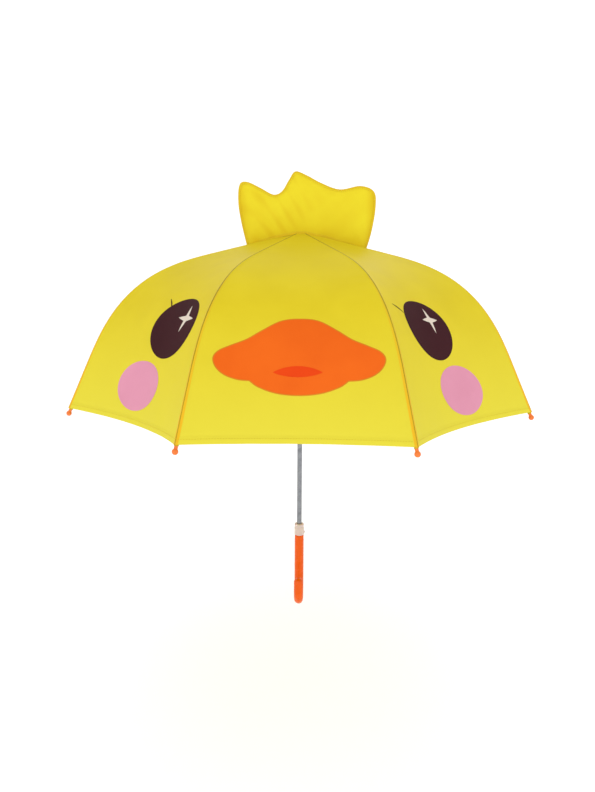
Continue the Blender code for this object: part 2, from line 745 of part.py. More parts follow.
def make_stretcher(material):
    """Channel from the rib's rivet to the runner, forked at the rivet and flattened at the runner.

    It is made along +X with the rivet at the origin and its open side at +Z, then turned into place.
    """
    half_depth = CHANNEL_DEPTH / 2.0
    half_width = CHANNEL_WIDTH / 2.0
    end_overhang = CHANNEL_DEPTH / 2.0 + CLEARANCE
    channel_end = STRETCHER_LENGTH - BLADE_LENGTH
    inner_half = half_width - CHANNEL_WALL
    channel = box("stretcher", (-end_overhang, -half_width, -half_depth), (channel_end, half_width, half_depth))
    trough = box(
        "channel_trough",
        (-end_overhang - OVERCUT, -inner_half, -half_depth + CHANNEL_WALL),
        (channel_end - 2.0 * CHANNEL_WALL, inner_half, CHANNEL_DEPTH),
        CUTTERS,
    )
    fork = box(
        "channel_fork",
        (-end_overhang - OVERCUT, -inner_half, -CHANNEL_DEPTH),
        (FORK_LENGTH, inner_half, 0.0),
        CUTTERS,
    )
    blade = box(
        "stretcher_blade",
        (channel_end - CHANNEL_WALL, -BLADE_WIDTH / 2.0, -half_depth),
        (STRETCHER_LENGTH + end_overhang, BLADE_WIDTH / 2.0, half_depth),
        CUTTERS,
    )
    rivet_hole = rod_across(
        "fork_hole", (0.0, 0.0, 0.0), RIVET_RADIUS + CLEARANCE, CHANNEL_WIDTH, collection=CUTTERS,
    )
    end_hole = rod_across(
        "blade_hole", (STRETCHER_LENGTH, 0.0, 0.0), EYE_HOLE_RADIUS, CHANNEL_WIDTH, collection=CUTTERS,
    )
    cut(channel, trough)
    cut(channel, fork)
    join(channel, blade)
    cut(channel, rivet_hole)
    cut(channel, end_hole)
    settle(channel, material)
    channel.data.transform(Matrix.Rotation(math.pi - OPEN_RIB_ANGLE, 4, "Y"))
    channel.location = RIVET_POINT
    repeat_round_shaft(channel, "stretcher")


def make_gore_band(name, material, edges, origin):
    """One band of a gore as a thin shell. edges gives the first and last share at a place across it."""
    rows = len(stations(*edges(0.0))) - 1
    bm = bmesh.new()
    bmesh.ops.create_grid(bm, x_segments=GORE_COLUMNS, y_segments=rows, size=1.0)
    for vertex in bm.verts:
        across, row = vertex.co.x, round((vertex.co.y + 1.0) / 2.0 * rows)
        vertex.co = gore_point(stations(*edges(across))[row], across)
    band = object_of(name, mesh_of(name, bm))
    shell = band.modifiers.new("cloth", "SOLIDIFY")
    shell.thickness = FABRIC_THICKNESS
    shell.offset = 0.0
    shell.use_even_offset = True
    repeat_round_shaft(settle(band, material, origin), name)


def inner_band_edges(_across):
    """The crown hole, and the ring where the bands meet."""
    crown = CROWN_HOLE_RADIUS / math.cos(math.radians(CROWN_SLOPE)) / RIB_LENGTH
    return crown, BAND_SHARE - BAND_GAP / 2.0 / RIB_LENGTH


def outer_band_edges(across):
    return BAND_SHARE + BAND_GAP / 2.0 / RIB_LENGTH, hem_share(across)


def make_tie_strap(material):
    """Strap that hangs from the hem at the back, for tying the closed umbrella."""
    hem = Matrix.Rotation(HALF_GORE, 3, "Z") @ gore_point(hem_share(0.0), 0.0)
    radius = math.hypot(hem.x, hem.y)
    top = hem.z - 2.0 * FABRIC_THICKNESS
    strap = box(
        "tie_strap",
        (-STRAP_WIDTH / 2.0, radius - STRAP_THICKNESS / 2.0, top - STRAP_LENGTH),
        (STRAP_WIDTH / 2.0, radius + STRAP_THICKNESS / 2.0, top),
    )
    settle(strap, material)


def build():
    steel = finish("bright_steel", (0.62, 0.62, 0.63), 0.28, 1.0)
    dark_steel = finish("rib_steel", (0.42, 0.42, 0.43), 0.38, 1.0)
    wire = finish("tie_wire", (0.48, 0.48, 0.48), 0.40, 1.0)
    orange = finish("handle_orange", (0.83, 0.16, 0.007), 0.38)
    tip_orange = finish("tip_orange", (0.85, 0.22, 0.012), 0.42)
    ferrule_orange = finish("ferrule_orange", (0.83, 0.18, 0.010), 0.40)
    clear = finish("collar_clear", (0.72, 0.62, 0.55), 0.30, 0.0, 0.75)
    white = finish("runner_white", (0.78, 0.78, 0.75), 0.45)
    button = finish("button_orange", (0.83, 0.16, 0.007), 0.40)
    black = finish("notch_black", (0.02, 0.02, 0.02), 0.50)
    cap = finish("cap_yellow", (0.85, 0.55, 0.03), 0.45)
    canopy = finish("canopy_yellow", (0.87, 0.58, 0.02), 0.70)
    crest = finish("crest_yellow", (0.85, 0.52, 0.01), 0.75)
    strap = finish("strap_yellow", (0.85, 0.55, 0.02), 0.75)
    make_shaft(steel)
    make_top_notch(black)
    make_notch_wire(wire)
    make_crown_cap(cap)
    make_ferrule(ferrule_orange)
    make_runner_stop(black)
    make_handle(orange)
    make_handle_collar(clear)
    make_crest(crest)
    make_runner(white)
    make_runner_button(button)
    make_rib_inner(dark_steel)
    make_rib_outer(dark_steel)
    make_rib_tip(tip_orange)
    make_stretcher(dark_steel)
    make_gore_band("gore_inner", canopy, inner_band_edges, RIB_PIVOT)
    make_gore_band("gore_outer", canopy, outer_band_edges, BEND_POINT)
    make_tie_strap(strap)


clear_scene()
PIECES = new_collection("childrens_umbrella")
CUTTERS = new_collection("cutters")
build()
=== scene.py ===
"""Looks of a children's dome umbrella: printed cloth, sewn crest, moulded handle and steel frame.

Everything is in metres, in the part's own frame, where the shaft stands on +Z and the face looks along -Y.
Cloth and prints are cut flat in the gore's own measures and then laid over the ribs by one Geometry Nodes
tree, so that they keep to one surface.
"""

import logging
import math
from dataclasses import dataclass
from enum import Enum
from functools import cache

import bmesh
import bpy
import numpy as np
from mathutils import Matrix, Vector
from mathutils.geometry import delaunay_2d_cdt


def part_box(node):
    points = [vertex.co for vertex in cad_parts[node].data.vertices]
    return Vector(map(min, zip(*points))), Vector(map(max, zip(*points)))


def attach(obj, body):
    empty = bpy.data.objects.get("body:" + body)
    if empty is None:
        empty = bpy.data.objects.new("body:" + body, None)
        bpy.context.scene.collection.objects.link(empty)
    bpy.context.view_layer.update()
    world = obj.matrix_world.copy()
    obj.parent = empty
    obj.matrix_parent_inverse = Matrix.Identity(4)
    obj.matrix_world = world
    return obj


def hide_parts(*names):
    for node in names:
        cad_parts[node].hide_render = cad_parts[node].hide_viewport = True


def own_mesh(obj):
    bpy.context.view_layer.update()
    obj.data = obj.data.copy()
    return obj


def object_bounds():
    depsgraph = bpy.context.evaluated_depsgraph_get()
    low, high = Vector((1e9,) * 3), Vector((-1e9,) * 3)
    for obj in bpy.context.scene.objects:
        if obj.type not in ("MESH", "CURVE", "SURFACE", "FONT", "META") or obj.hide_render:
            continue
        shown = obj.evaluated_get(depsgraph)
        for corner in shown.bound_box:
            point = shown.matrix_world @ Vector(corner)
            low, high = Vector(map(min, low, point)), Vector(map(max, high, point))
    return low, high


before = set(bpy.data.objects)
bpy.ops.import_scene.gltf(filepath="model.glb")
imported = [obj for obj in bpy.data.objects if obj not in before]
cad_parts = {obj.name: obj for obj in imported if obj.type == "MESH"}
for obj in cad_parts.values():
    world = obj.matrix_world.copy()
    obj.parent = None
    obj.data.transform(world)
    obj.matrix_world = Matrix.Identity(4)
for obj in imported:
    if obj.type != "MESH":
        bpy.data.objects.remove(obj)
CAD_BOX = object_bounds()
LOG = logging.getLogger("umbrella")

RIB_COUNT = 8
HALF_GORE = math.pi / RIB_COUNT
FRONT_GORE = 6              # the gore that holds the beak
LEFT_EYE_GORE = 5
RIGHT_EYE_GORE = 7


# Nodes and finishes


def to_linear(colour: str) -> tuple[float, float, float, float]:
    """Turns an sRGB hex colour into linear values.

    Args:
        colour: six hex digits.

    Returns:
        Red, green, blue and alpha.
    """
    values = [int(colour[place:place + 2], 16) / 255.0 for place in (0, 2, 4)]
    linear = [v / 12.92 if v <= 0.04045 else ((v + 0.055) / 1.055) ** 2.4 for v in values]
    return (*linear, 1.0)


def add_node(
    tree: bpy.types.NodeTree, kind: str, inputs: dict | None = None, **settings: object
) -> bpy.types.Node:
    """Adds a node with its settings, and sets or links its inputs.

    Args:
        tree: the tree that gets the node.
        kind: the node's type.
        inputs: a value or an output socket for each input, by name or by place.
        settings: the node's own properties.

    Returns:
        The node.
    """
    node = tree.nodes.new(kind)
    for name, value in settings.items():
        setattr(node, name, value)
    for key, value in (inputs or {}).items():
        if isinstance(value, bpy.types.NodeSocket):
            tree.links.new(value, node.inputs[key])
        else:
            node.inputs[key].default_value = value
    return node


def new_material(
    name: str, **constants: object
) -> tuple[bpy.types.Material, bpy.types.Node, bpy.types.NodeSocket]:
    """Starts a material from its shader's constant values.

    Args:
        name: the material's name.
        constants: values for the shader's sockets, with underscores for spaces.

    Returns:
        The material, its shader, and the piece's own coordinates in metres.
    """
    material = bpy.data.materials.new(name)
    material.use_nodes = True
    shader = material.node_tree.nodes["Principled BSDF"]
    for key, value in constants.items():
        shader.inputs[key.replace("_", " ")].default_value = value
    place = add_node(material.node_tree, "ShaderNodeTexCoord").outputs["Object"]
    return material, shader, place


def two_toned(
    tree: bpy.types.NodeTree, noise: bpy.types.Node, span: tuple[float, float], tones: tuple[str, str]
) -> bpy.types.NodeSocket:
    """Spreads two tones of one colour over a noise.

    Args:
        tree: the material's tree.
        noise: the noise that the tones follow.
        span: the noise's values where the darker tone ends and the lighter one starts.
        tones: the darker and the lighter tone.

    Returns:
        The colour.
    """
    spread = add_node(tree, "ShaderNodeValToRGB", {"Fac": noise.outputs["Fac"]})
    for stop, position, tone in zip(spread.color_ramp.elements, span, tones):
        stop.position = position
        stop.color = to_linear(tone)
    return spread.outputs["Color"]


def surface(
    tree: bpy.types.NodeTree, shader: bpy.types.Node,
    gloss: tuple[bpy.types.NodeSocket, float, float], relief: tuple[bpy.types.NodeSocket, float, float],
) -> None:
    """Varies a shader's roughness by one pattern and raises its surface by another.

    Args:
        tree: the material's tree.
        shader: the shader.
        gloss: a pattern, and the roughness at its 0 and at its 1.
        relief: a pattern, the strength of its bumps and their height in metres.
    """
    rough = add_node(tree, "ShaderNodeMapRange", dict(zip(("Value", "To Min", "To Max"), gloss)))
    bump = add_node(tree, "ShaderNodeBump", dict(zip(("Height", "Strength", "Distance"), relief)))
    tree.links.new(rough.outputs["Result"], shader.inputs["Roughness"])
    tree.links.new(bump.outputs["Normal"], shader.inputs["Normal"])


class Weave(Enum):
    """How the threads of a cloth cross."""

    TAFFETA = "fine plain weave, near square"
    WEBBING = "coarse ribbed weave"


@dataclass(frozen=True)
class Cloth:
    """Dyed polyester cloth. Its threads are too fine to show, so they are drawn a few times as coarse."""

    name: str
    colour: str
    shade: str
    weave: Weave = Weave.TAFFETA
    thread: float = 0.0009
    roughness: float = 0.58
    gloss: float = 0.22
    sheen: float = 0.02
    relief: float = 0.16
    cloudiness: float = 18.0
    rim: str = ""               # painted backlight: colour at the canopy's rim, standing in for light that comes through the cloth
    painted_backlight_span: tuple[float, float] = (0.44, 0.27)
    hollow: str = ""            # painted shade: darker colour mixed in where the mesh's "hollow" attribute marks shade

    def material(self) -> bpy.types.Material:
        """Builds the cloth: crossing threads, soft clouds in the dye, and a little sheen."""
        material, shader, place = new_material(
            self.name, Sheen_Weight=self.sheen, Sheen_Roughness=0.45, Specular_IOR_Level=self.gloss,
        )
        tree = material.node_tree
        turn = 2.0 * math.pi / self.thread
        stretch = 0.35 if self.weave is Weave.WEBBING else 1.0
        eighth = (0.0, 0.0, math.pi / 4.0)
        warp_at = add_node(tree, "ShaderNodeMapping", {"Vector": place, "Rotation": eighth})
        warp = add_node(
            tree, "ShaderNodeTexWave",
            {"Vector": warp_at.outputs[0], "Scale": turn / 20.0, "Distortion": 0.4},
            bands_direction="X",
        )
        weft = add_node(
            tree, "ShaderNodeTexWave", {"Vector": place, "Scale": stretch * turn / 20.0, "Distortion": 0.4},
            bands_direction="Z",
        )
        crossing = {0: warp.outputs["Fac"], 1: weft.outputs["Fac"]}
        threads = add_node(tree, "ShaderNodeMath", crossing, operation="ADD")
        clouds = add_node(
            tree, "ShaderNodeTexNoise",
            {"Vector": place, "Scale": self.cloudiness, "Detail": 3.0, "Roughness": 0.5},
        )
        colour = two_toned(tree, clouds, (0.32, 0.68), (self.shade, self.colour))
        # Painted backlight: towards the rim the dye is mixed to the rim colour, which stands in for light
        # coming through the cloth.
        if self.rim:
            height = add_node(tree, "ShaderNodeSeparateXYZ", {0: place})
            lower = add_node(
                tree, "ShaderNodeMapRange",
                {"Value": height.outputs["Z"], "From Min": self.painted_backlight_span[0], "From Max": self.painted_backlight_span[1]},
            )
            mixed = add_node(
                tree, "ShaderNodeMixRGB", {0: lower.outputs["Result"], 1: colour, 2: to_linear(self.rim)},
            )
            colour = mixed.outputs[0]
        # Painted shade: the dye is mixed towards the darker colour as far as the mesh's "hollow" attribute
        # says.
        if self.hollow:
            marked = add_node(tree, "ShaderNodeAttribute", attribute_name="hollow")
            mixed = add_node(
                tree, "ShaderNodeMixRGB", {0: marked.outputs["Fac"], 1: colour, 2: to_linear(self.hollow)},
            )
            colour = mixed.outputs[0]
        tree.links.new(colour, shader.inputs["Base Color"])
        surface(
            tree, shader, (clouds.outputs["Fac"], self.roughness - 0.06, self.roughness + 0.06),
            (threads.outputs[0], self.relief, self.thread / 4.0),
        )
        return material


@dataclass(frozen=True)
class Moulded:
    """Injection-moulded plastic: even colour, soft gloss, and a faint ripple where it cooled."""

    name: str
    colour: str
    shade: str
    roughness: float = 0.32
    scuff: float = 0.10
    shine: float = 0.5
    clarity: float = 0.0
    glow: float = 0.0

    def material(self) -> bpy.types.Material:
        """Builds the plastic, with scuffs that vary its gloss."""
        material, shader, place = new_material(
            self.name, IOR=1.5, Specular_IOR_Level=self.shine, Transmission_Weight=self.clarity,
            Subsurface_Weight=self.glow, Subsurface_Scale=0.003,
        )
        tree = material.node_tree
        handling = add_node(tree, "ShaderNodeTexNoise", {"Vector": place, "Scale": 90.0, "Detail": 4.0})
        tint = two_toned(tree, handling, (0.30, 0.62), (self.shade, self.colour))
        tree.links.new(tint, shader.inputs["Base Color"])
        ripple = add_node(tree, "ShaderNodeTexNoise", {"Vector": place, "Scale": 240.0, "Detail": 2.0})
        surface(
            tree, shader, (handling.outputs["Fac"], self.roughness, self.roughness + self.scuff),
            (ripple.outputs["Fac"], 0.08, 0.0004),
        )
        return material


class Drawn(Enum):
    """How a steel surface was made, as the stretch of its marks along the shaft's height."""

    TUBE = 0.02
    WIRE = 0.20


@dataclass(frozen=True)
class Steel:
    """Plated steel with the long fine lines that drawing through a die leaves."""

    name: str
    colour: str
    shade: str
    drawn: Drawn = Drawn.WIRE
    roughness: float = 0.24

    def material(self) -> bpy.types.Material:
        """Builds the metal: streaked gloss, and faint dull spots in the plating."""
        material, shader, place = new_material(self.name, Metallic=1.0)
        tree = material.node_tree
        along = add_node(tree, "ShaderNodeMapping", {"Vector": place, "Scale": (1.0, 1.0, self.drawn.value)})
        streaks = {"Vector": along.outputs[0], "Scale": 1400.0, "Detail": 2.0}
        lines = add_node(tree, "ShaderNodeTexNoise", streaks)
        spots = add_node(tree, "ShaderNodeTexNoise", {"Vector": place, "Scale": 160.0, "Detail": 5.0})
        tint = two_toned(tree, spots, (0.30, 0.60), (self.shade, self.colour))
        tree.links.new(tint, shader.inputs["Base Color"])
        surface(
            tree, shader, (lines.outputs["Fac"], self.roughness - 0.06, self.roughness + 0.10),
            (lines.outputs["Fac"], 0.06, 0.0001),
        )
        return material


FINISHES = {
    # Pongee of the canopy, dyed a warm yellow; the seam's double cloth reads as amber.
    # The rim colours of the pongee and of the seam are painted backlight, standing in for light that comes
    # through the cloth near the hem.
    "canopy": Cloth("yellow_pongee", "dcc721", "d7c11b", gloss=0.14, sheen=0.0, rim="dfd33c"),
    "seam": Cloth("amber_seam_cloth", "dcc01c", "d6b817", rim="e8b414", painted_backlight_span=(0.46, 0.32)),
    "seam_line": Cloth("seam_stitch_line", "a08c14", "8e7a0c"),
    # The crest's hollow colour is painted shade in its creases, at its foot, near its edge and where its ends
    # roll round.
    "crest": Cloth("yellow_crest_cloth", "eada26", "e5d01e", gloss=0.16, hollow="d8b608"),
    "crest_edge": Cloth("crest_binding_cloth", "dfc012", "d4b20c"),
    "strap": Cloth("yellow_strap_webbing", "dcc41c", "cfb414", Weave.WEBBING, thread=0.0014, relief=0.4),
    "thread": Cloth(
        "yellow_sewing_thread", "d8c024", "c9ae1a", thread=0.0004, roughness=0.55, cloudiness=300.0,
    ),
    # Screen-printed inks soak into the cloth, so its weave shows through them.
    "eye": Cloth("brown_print_ink", "3e1a20", "38161b", gloss=0.05, sheen=0.0),
    "sparkle": Cloth("cream_print_ink", "dccfc0", "d4c5b4", sheen=0.0),
    "cheek": Cloth("pink_print_ink", "dc93ab", "d68ca4", sheen=0.0),
    "beak": Cloth("orange_print_ink", "e96610", "e4600b", gloss=0.12, sheen=0.0),
    "beak_line": Cloth("ochre_outline_ink", "d68412", "ce7c0c", sheen=0.0),
    "mouth": Cloth("red_orange_print_ink", "e54402", "de3e01", gloss=0.12, sheen=0.0),
    "handle": Moulded("orange_handle_plastic", "e85c02", "e45801", roughness=0.22, shine=0.22),
    "tip": Moulded("orange_tip_plastic", "ee7a24", "e46a18", roughness=0.26),
    "button": Moulded("orange_button_plastic", "fb6a06", "ef5f05", roughness=0.34),
    "collar": Moulded("milky_collar_plastic", "f6e2d8", "f0d8cc", roughness=0.30, clarity=0.35, glow=0.15),
    "runner": Moulded("white_runner_nylon", "efeee8", "e2e0d8", roughness=0.42),
    "black": Moulded("black_notch_nylon", "202020", "181818", roughness=0.44),
    "cap": Moulded("yellow_cap_plastic", "f0d41c", "e6c814", roughness=0.36),
    "shaft": Steel("chromed_steel_tube", "8f9194", "7a7c80", Drawn.TUBE, 0.18),
    "rib": Steel("zinc_plated_steel_wire", "a9abad", "8f9194", Drawn.WIRE, 0.34),
}
READY: dict[str, bpy.types.Material] = {}


def finish(name: str) -> bpy.types.Material:
    """Gives the material of one finish, built the first time it is asked for."""
    if name not in READY:
        READY[name] = FINISHES[name].material()
    return READY[name]


# Pieces


def placed(name: str, data: bpy.types.ID) -> bpy.types.Object:
    """Puts an object that holds some data in the scene, at the origin."""
    holder = bpy.data.objects.new(name, data)
    bpy.context.scene.collection.objects.link(holder)
    return holder


def new_piece(name: str, mesh: bpy.types.Mesh, materials: list[str]) -> bpy.types.Object:
    """Puts a mesh in the scene as a piece at the origin.

    Args:
        name: the piece's name.
        mesh: the piece's mesh, with its place in its vertices.
        materials: its finishes, in the order of its material indices.

    Returns:
        The piece.
    """
    if mesh.materials:      # a cleared list sends every face back to the first material
        mesh.materials.clear()
    for finish_name in materials:
        mesh.materials.append(finish(finish_name))
    piece = placed(name, mesh)
    return piece


def mesh_from(name: str, points: np.ndarray, faces: list, edges: list | None = None) -> bpy.types.Mesh:
    """Builds a mesh from rows of points and its faces or edges."""
    mesh = bpy.data.meshes.new(name)
    mesh.from_pydata([tuple(map(float, point)) for point in points], edges or [], faces)
    mesh.update()
    return mesh


def points_of(mesh: bpy.types.Mesh) -> np.ndarray:
    """Gives a mesh's vertices as rows of an array."""
    points = np.empty(3 * len(mesh.vertices), np.float32)
    mesh.vertices.foreach_get("co", points)
    return points.reshape(-1, 3).astype(float)


def normals_of(mesh: bpy.types.Mesh) -> np.ndarray:
    """Gives a mesh's vertex normals as rows of an array."""
    normals = np.empty(3 * len(mesh.vertices), np.float32)
    mesh.vertices.foreach_get("normal", normals)
    return normals.reshape(-1, 3).astype(float)


def solved(piece: bpy.types.Object) -> bpy.types.Mesh:
    """Turns an object's modifiers into one plain mesh and removes the object."""
    bpy.context.view_layer.update()
    graph = bpy.context.evaluated_depsgraph_get()
    mesh = bpy.data.meshes.new_from_object(piece.evaluated_get(graph))
    bpy.data.objects.remove(piece, do_unlink=True)
    return mesh


def new_tree(name: str, inputs: dict[str, str]) -> tuple[bpy.types.NodeTree, bpy.types.NodeOutputs]:
    """Starts a geometry tree with named inputs.

    Args:
        name: the tree's name.
        inputs: the kind of each input after the geometry, by its name.

    Returns:
        The tree, and the sockets that give its inputs.
    """
    tree = bpy.data.node_groups.new(name, "GeometryNodeTree")
    tree.interface.new_socket("Geometry", in_out="INPUT", socket_type="NodeSocketGeometry")
    for title, kind in inputs.items():
        tree.interface.new_socket(title, in_out="INPUT", socket_type=f"NodeSocket{kind}")
    tree.interface.new_socket("Geometry", in_out="OUTPUT", socket_type="NodeSocketGeometry")
    return tree, add_node(tree, "NodeGroupInput").outputs


def end_tree(tree: bpy.types.NodeTree, shape: bpy.types.NodeSocket, material: bpy.types.NodeSocket) -> None:
    """Ends a geometry tree: it makes the instances real, gives them their material and puts them out."""
    real = add_node(tree, "GeometryNodeRealizeInstances", {"Geometry": shape})
    dyed = add_node(tree, "GeometryNodeSetMaterial", {"Geometry": real.outputs[0], "Material": material})
    add_node(tree, "NodeGroupOutput", {0: dyed.outputs[0]})


def run_tree(mesh: bpy.types.Mesh, tree: bpy.types.NodeTree, values: dict[str, object]) -> bpy.types.Mesh:
    """Runs a geometry tree on a mesh.

    Args:
        mesh: the mesh that goes in.
        tree: the tree.
        values: the tree's inputs, by name.

    Returns:
        The plain mesh that comes out.
    """
    holder = placed("given", mesh)
    modifier = holder.modifiers.new("tree", "NODES")
    modifier.node_group = tree
    for item in tree.interface.items_tree:
        if item.in_out == "INPUT" and item.name in values:
            modifier[item.identifier] = values[item.name]
    return solved(holder)


def turned(profile: list[tuple[float, float]], steps: int) -> bmesh.types.BMesh:
    """Turns an open profile of (radius, height) round Z, with its two ends on the axis or closed by a wall.

    Args:
        profile: points from the top to the bottom of the outer side.
        steps: sides of the turned shape.

    Returns:
        The closed shape, with its faces out.
    """
    form = bmesh.new()
    rings = []
    for radius, height in profile:
        count = 1 if radius == 0.0 else steps
        rings.append([
            form.verts.new((radius * math.cos(turn), radius * math.sin(turn), height))
            for turn in (2.0 * math.pi * step / steps for step in range(count))
        ])
    for upper, lower in zip(rings, rings[1:] + rings[:1]):
        for step in range(steps):
            corners = [
                upper[step % len(upper)], lower[step % len(lower)],
                lower[(step + 1) % len(lower)], upper[(step + 1) % len(upper)],
            ]
            distinct = list(dict.fromkeys(corners))
            if len(distinct) > 2:
                form.faces.new(distinct)
    bmesh.ops.recalc_face_normals(form, faces=form.faces)
    return form


def swept(points: list[Vector], radii: list[float], sides: int, closed: bool = False) -> bmesh.types.BMesh:
    """Sweeps a circle along a line, keeping it square to the line and untwisted.

    Args:
        points: the line.
        radii: the circle's radius at each point.
        sides: the circle's sides.
        closed: whether the line's end joins its start.

    Returns:
        The closed shape.
    """
    form = bmesh.new()
    rings, side = [], None
    count = len(points)
    for index, (point, radius) in enumerate(zip(points, radii)):
        ahead = points[(index + 1) % count] if closed else points[min(index + 1, count - 1)]
        behind = points[index - 1] if closed else points[max(index - 1, 0)]
        along = (ahead - behind).normalized()
        side = along.orthogonal() if side is None else side - along * side.dot(along)
        side = side.normalized()
        other = along.cross(side)
        rings.append([
            form.verts.new(point + radius * (math.cos(turn) * side + math.sin(turn) * other))
            for turn in (2.0 * math.pi * step / sides for step in range(sides))
        ])
    pairs = list(zip(rings, rings[1:] + rings[:1])) if closed else list(zip(rings, rings[1:]))
    for first, second in pairs:
        for step in range(sides):
            form.faces.new((first[step], first[(step + 1) % sides], second[(step + 1) % sides], second[step]))
    if not closed:
        form.faces.new(list(reversed(rings[0])))
        form.faces.new(rings[-1])
    bmesh.ops.recalc_face_normals(form, faces=form.faces)
    return form


def mesh_of(
    name: str, form: bmesh.types.BMesh, place: Matrix | None = None, crease: float = 40.0
) -> bpy.types.Mesh:
    """Turns a bmesh into a smooth-shaded mesh, moved into its place, with its edges sharp past an angle."""
    mesh = bpy.data.meshes.new(name)
    if place is not None:
        form.transform(place)
    form.to_mesh(mesh)
    form.free()
    mesh.shade_smooth()
    mesh.set_sharp_from_angle(angle=math.radians(crease))
    return mesh


def cut_patch(outline: list, lines: list[list], inside: list) -> tuple[list[Vector], list[list[int]]]:
    """Cuts a closed outline out of flat cloth, as triangles that keep to further lines and points.

    Args:
        outline: the closed outline's points.
        lines: further lines that edges follow, each a row of points.
        inside: further points for the triangles' corners.

    Returns:
        The corners, and the triangles as rows of their places.
    """
    spread = np.array(outline)
    following = np.roll(spread, -1, axis=0)
    if float(np.sum(spread[:, 0] * following[:, 1] - following[:, 0] * spread[:, 1])) < 0.0:
        outline = outline[::-1]
    count = len(outline)
    points, border = list(outline), [(k, (k + 1) % count) for k in range(count)]
    for line in lines:
        border += [(len(points) + k, len(points) + k + 1) for k in range(len(line) - 1)]
        points += line
    points += inside
    made = delaunay_2d_cdt([Vector(point) for point in points], border, [list(range(count))], 1, 1e-6)
    return made[0], [list(face) for face, origin in zip(made[2], made[5]) if origin]


# The canopy's shape


def work_out(tree: bpy.types.NodeTree, known: dict[str, bpy.types.NodeSocket], steps: tuple) -> None:
    """Adds a Math node for each step and remembers its result.

    Args:
        tree: the geometry tree.
        known: the results so far, by name.
        steps: rows of (name, operation, terms), where a term is a number or an earlier result's name.
    """
    for name, operation, *terms in steps:
        inputs = {index: known[term] if isinstance(term, str) else term for index, term in enumerate(terms)}
        known[name] = add_node(tree, "ShaderNodeMath", inputs, operation=operation).outputs[0]


@dataclass(frozen=True)
class RibLine:
    """The line of the ribs under the cloth, from the apex to the tips."""

    length: float = 0.473
    crown_slope: float = 14.0
    skirt_slope: float = 65.5
    bend_start: float = 0.30
    bend_end: float = 0.84
    samples: int = 240
    cap_to_cloth: float = 0.0008    # of the crown cap's foot over the middle of the cloth

    @property
    def apex(self) -> float:
        """Height of the cloth where the ribs meet."""
        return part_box("crown_cap")[0].z - self.cap_to_cloth

    def slope(self, share: np.ndarray | float) -> np.ndarray:
        """Gives the fall of the line in radians, at a share of its length."""
        along = np.clip((np.asarray(share) - self.bend_start) / (self.bend_end - self.bend_start), 0.0, 1.0)
        eased = along * along * (3.0 - 2.0 * along)
        return np.radians(self.crown_slope + (self.skirt_slope - self.crown_slope) * eased)

    @cache
    def points(self) -> np.ndarray:
        """Gives rows of (radius, 0, height), evenly spaced along the line."""
        fine = 8 * self.samples
        middles = (np.arange(fine) + 0.5) / fine
        slopes, step = self.slope(middles), self.length / fine
        radius = np.concatenate([[0.0], np.cumsum(np.cos(slopes) * step)])[::8]
        fall = np.concatenate([[0.0], np.cumsum(np.sin(slopes) * step)])[::8]
        return np.stack([radius, np.zeros_like(radius), self.apex - fall], axis=1)

    def at(self, share: float, lift: float = 0.0) -> Vector:
        """Gives the point at a share of the length, lifted square off the line."""
        row = self.points()
        shares = np.linspace(0.0, 1.0, len(row))
        slope = float(self.slope(share))
        radius = float(np.interp(share, shares, row[:, 0])) + lift * math.sin(slope)
        return Vector((radius, 0.0, float(np.interp(share, shares, row[:, 2])) + lift * math.cos(slope)))


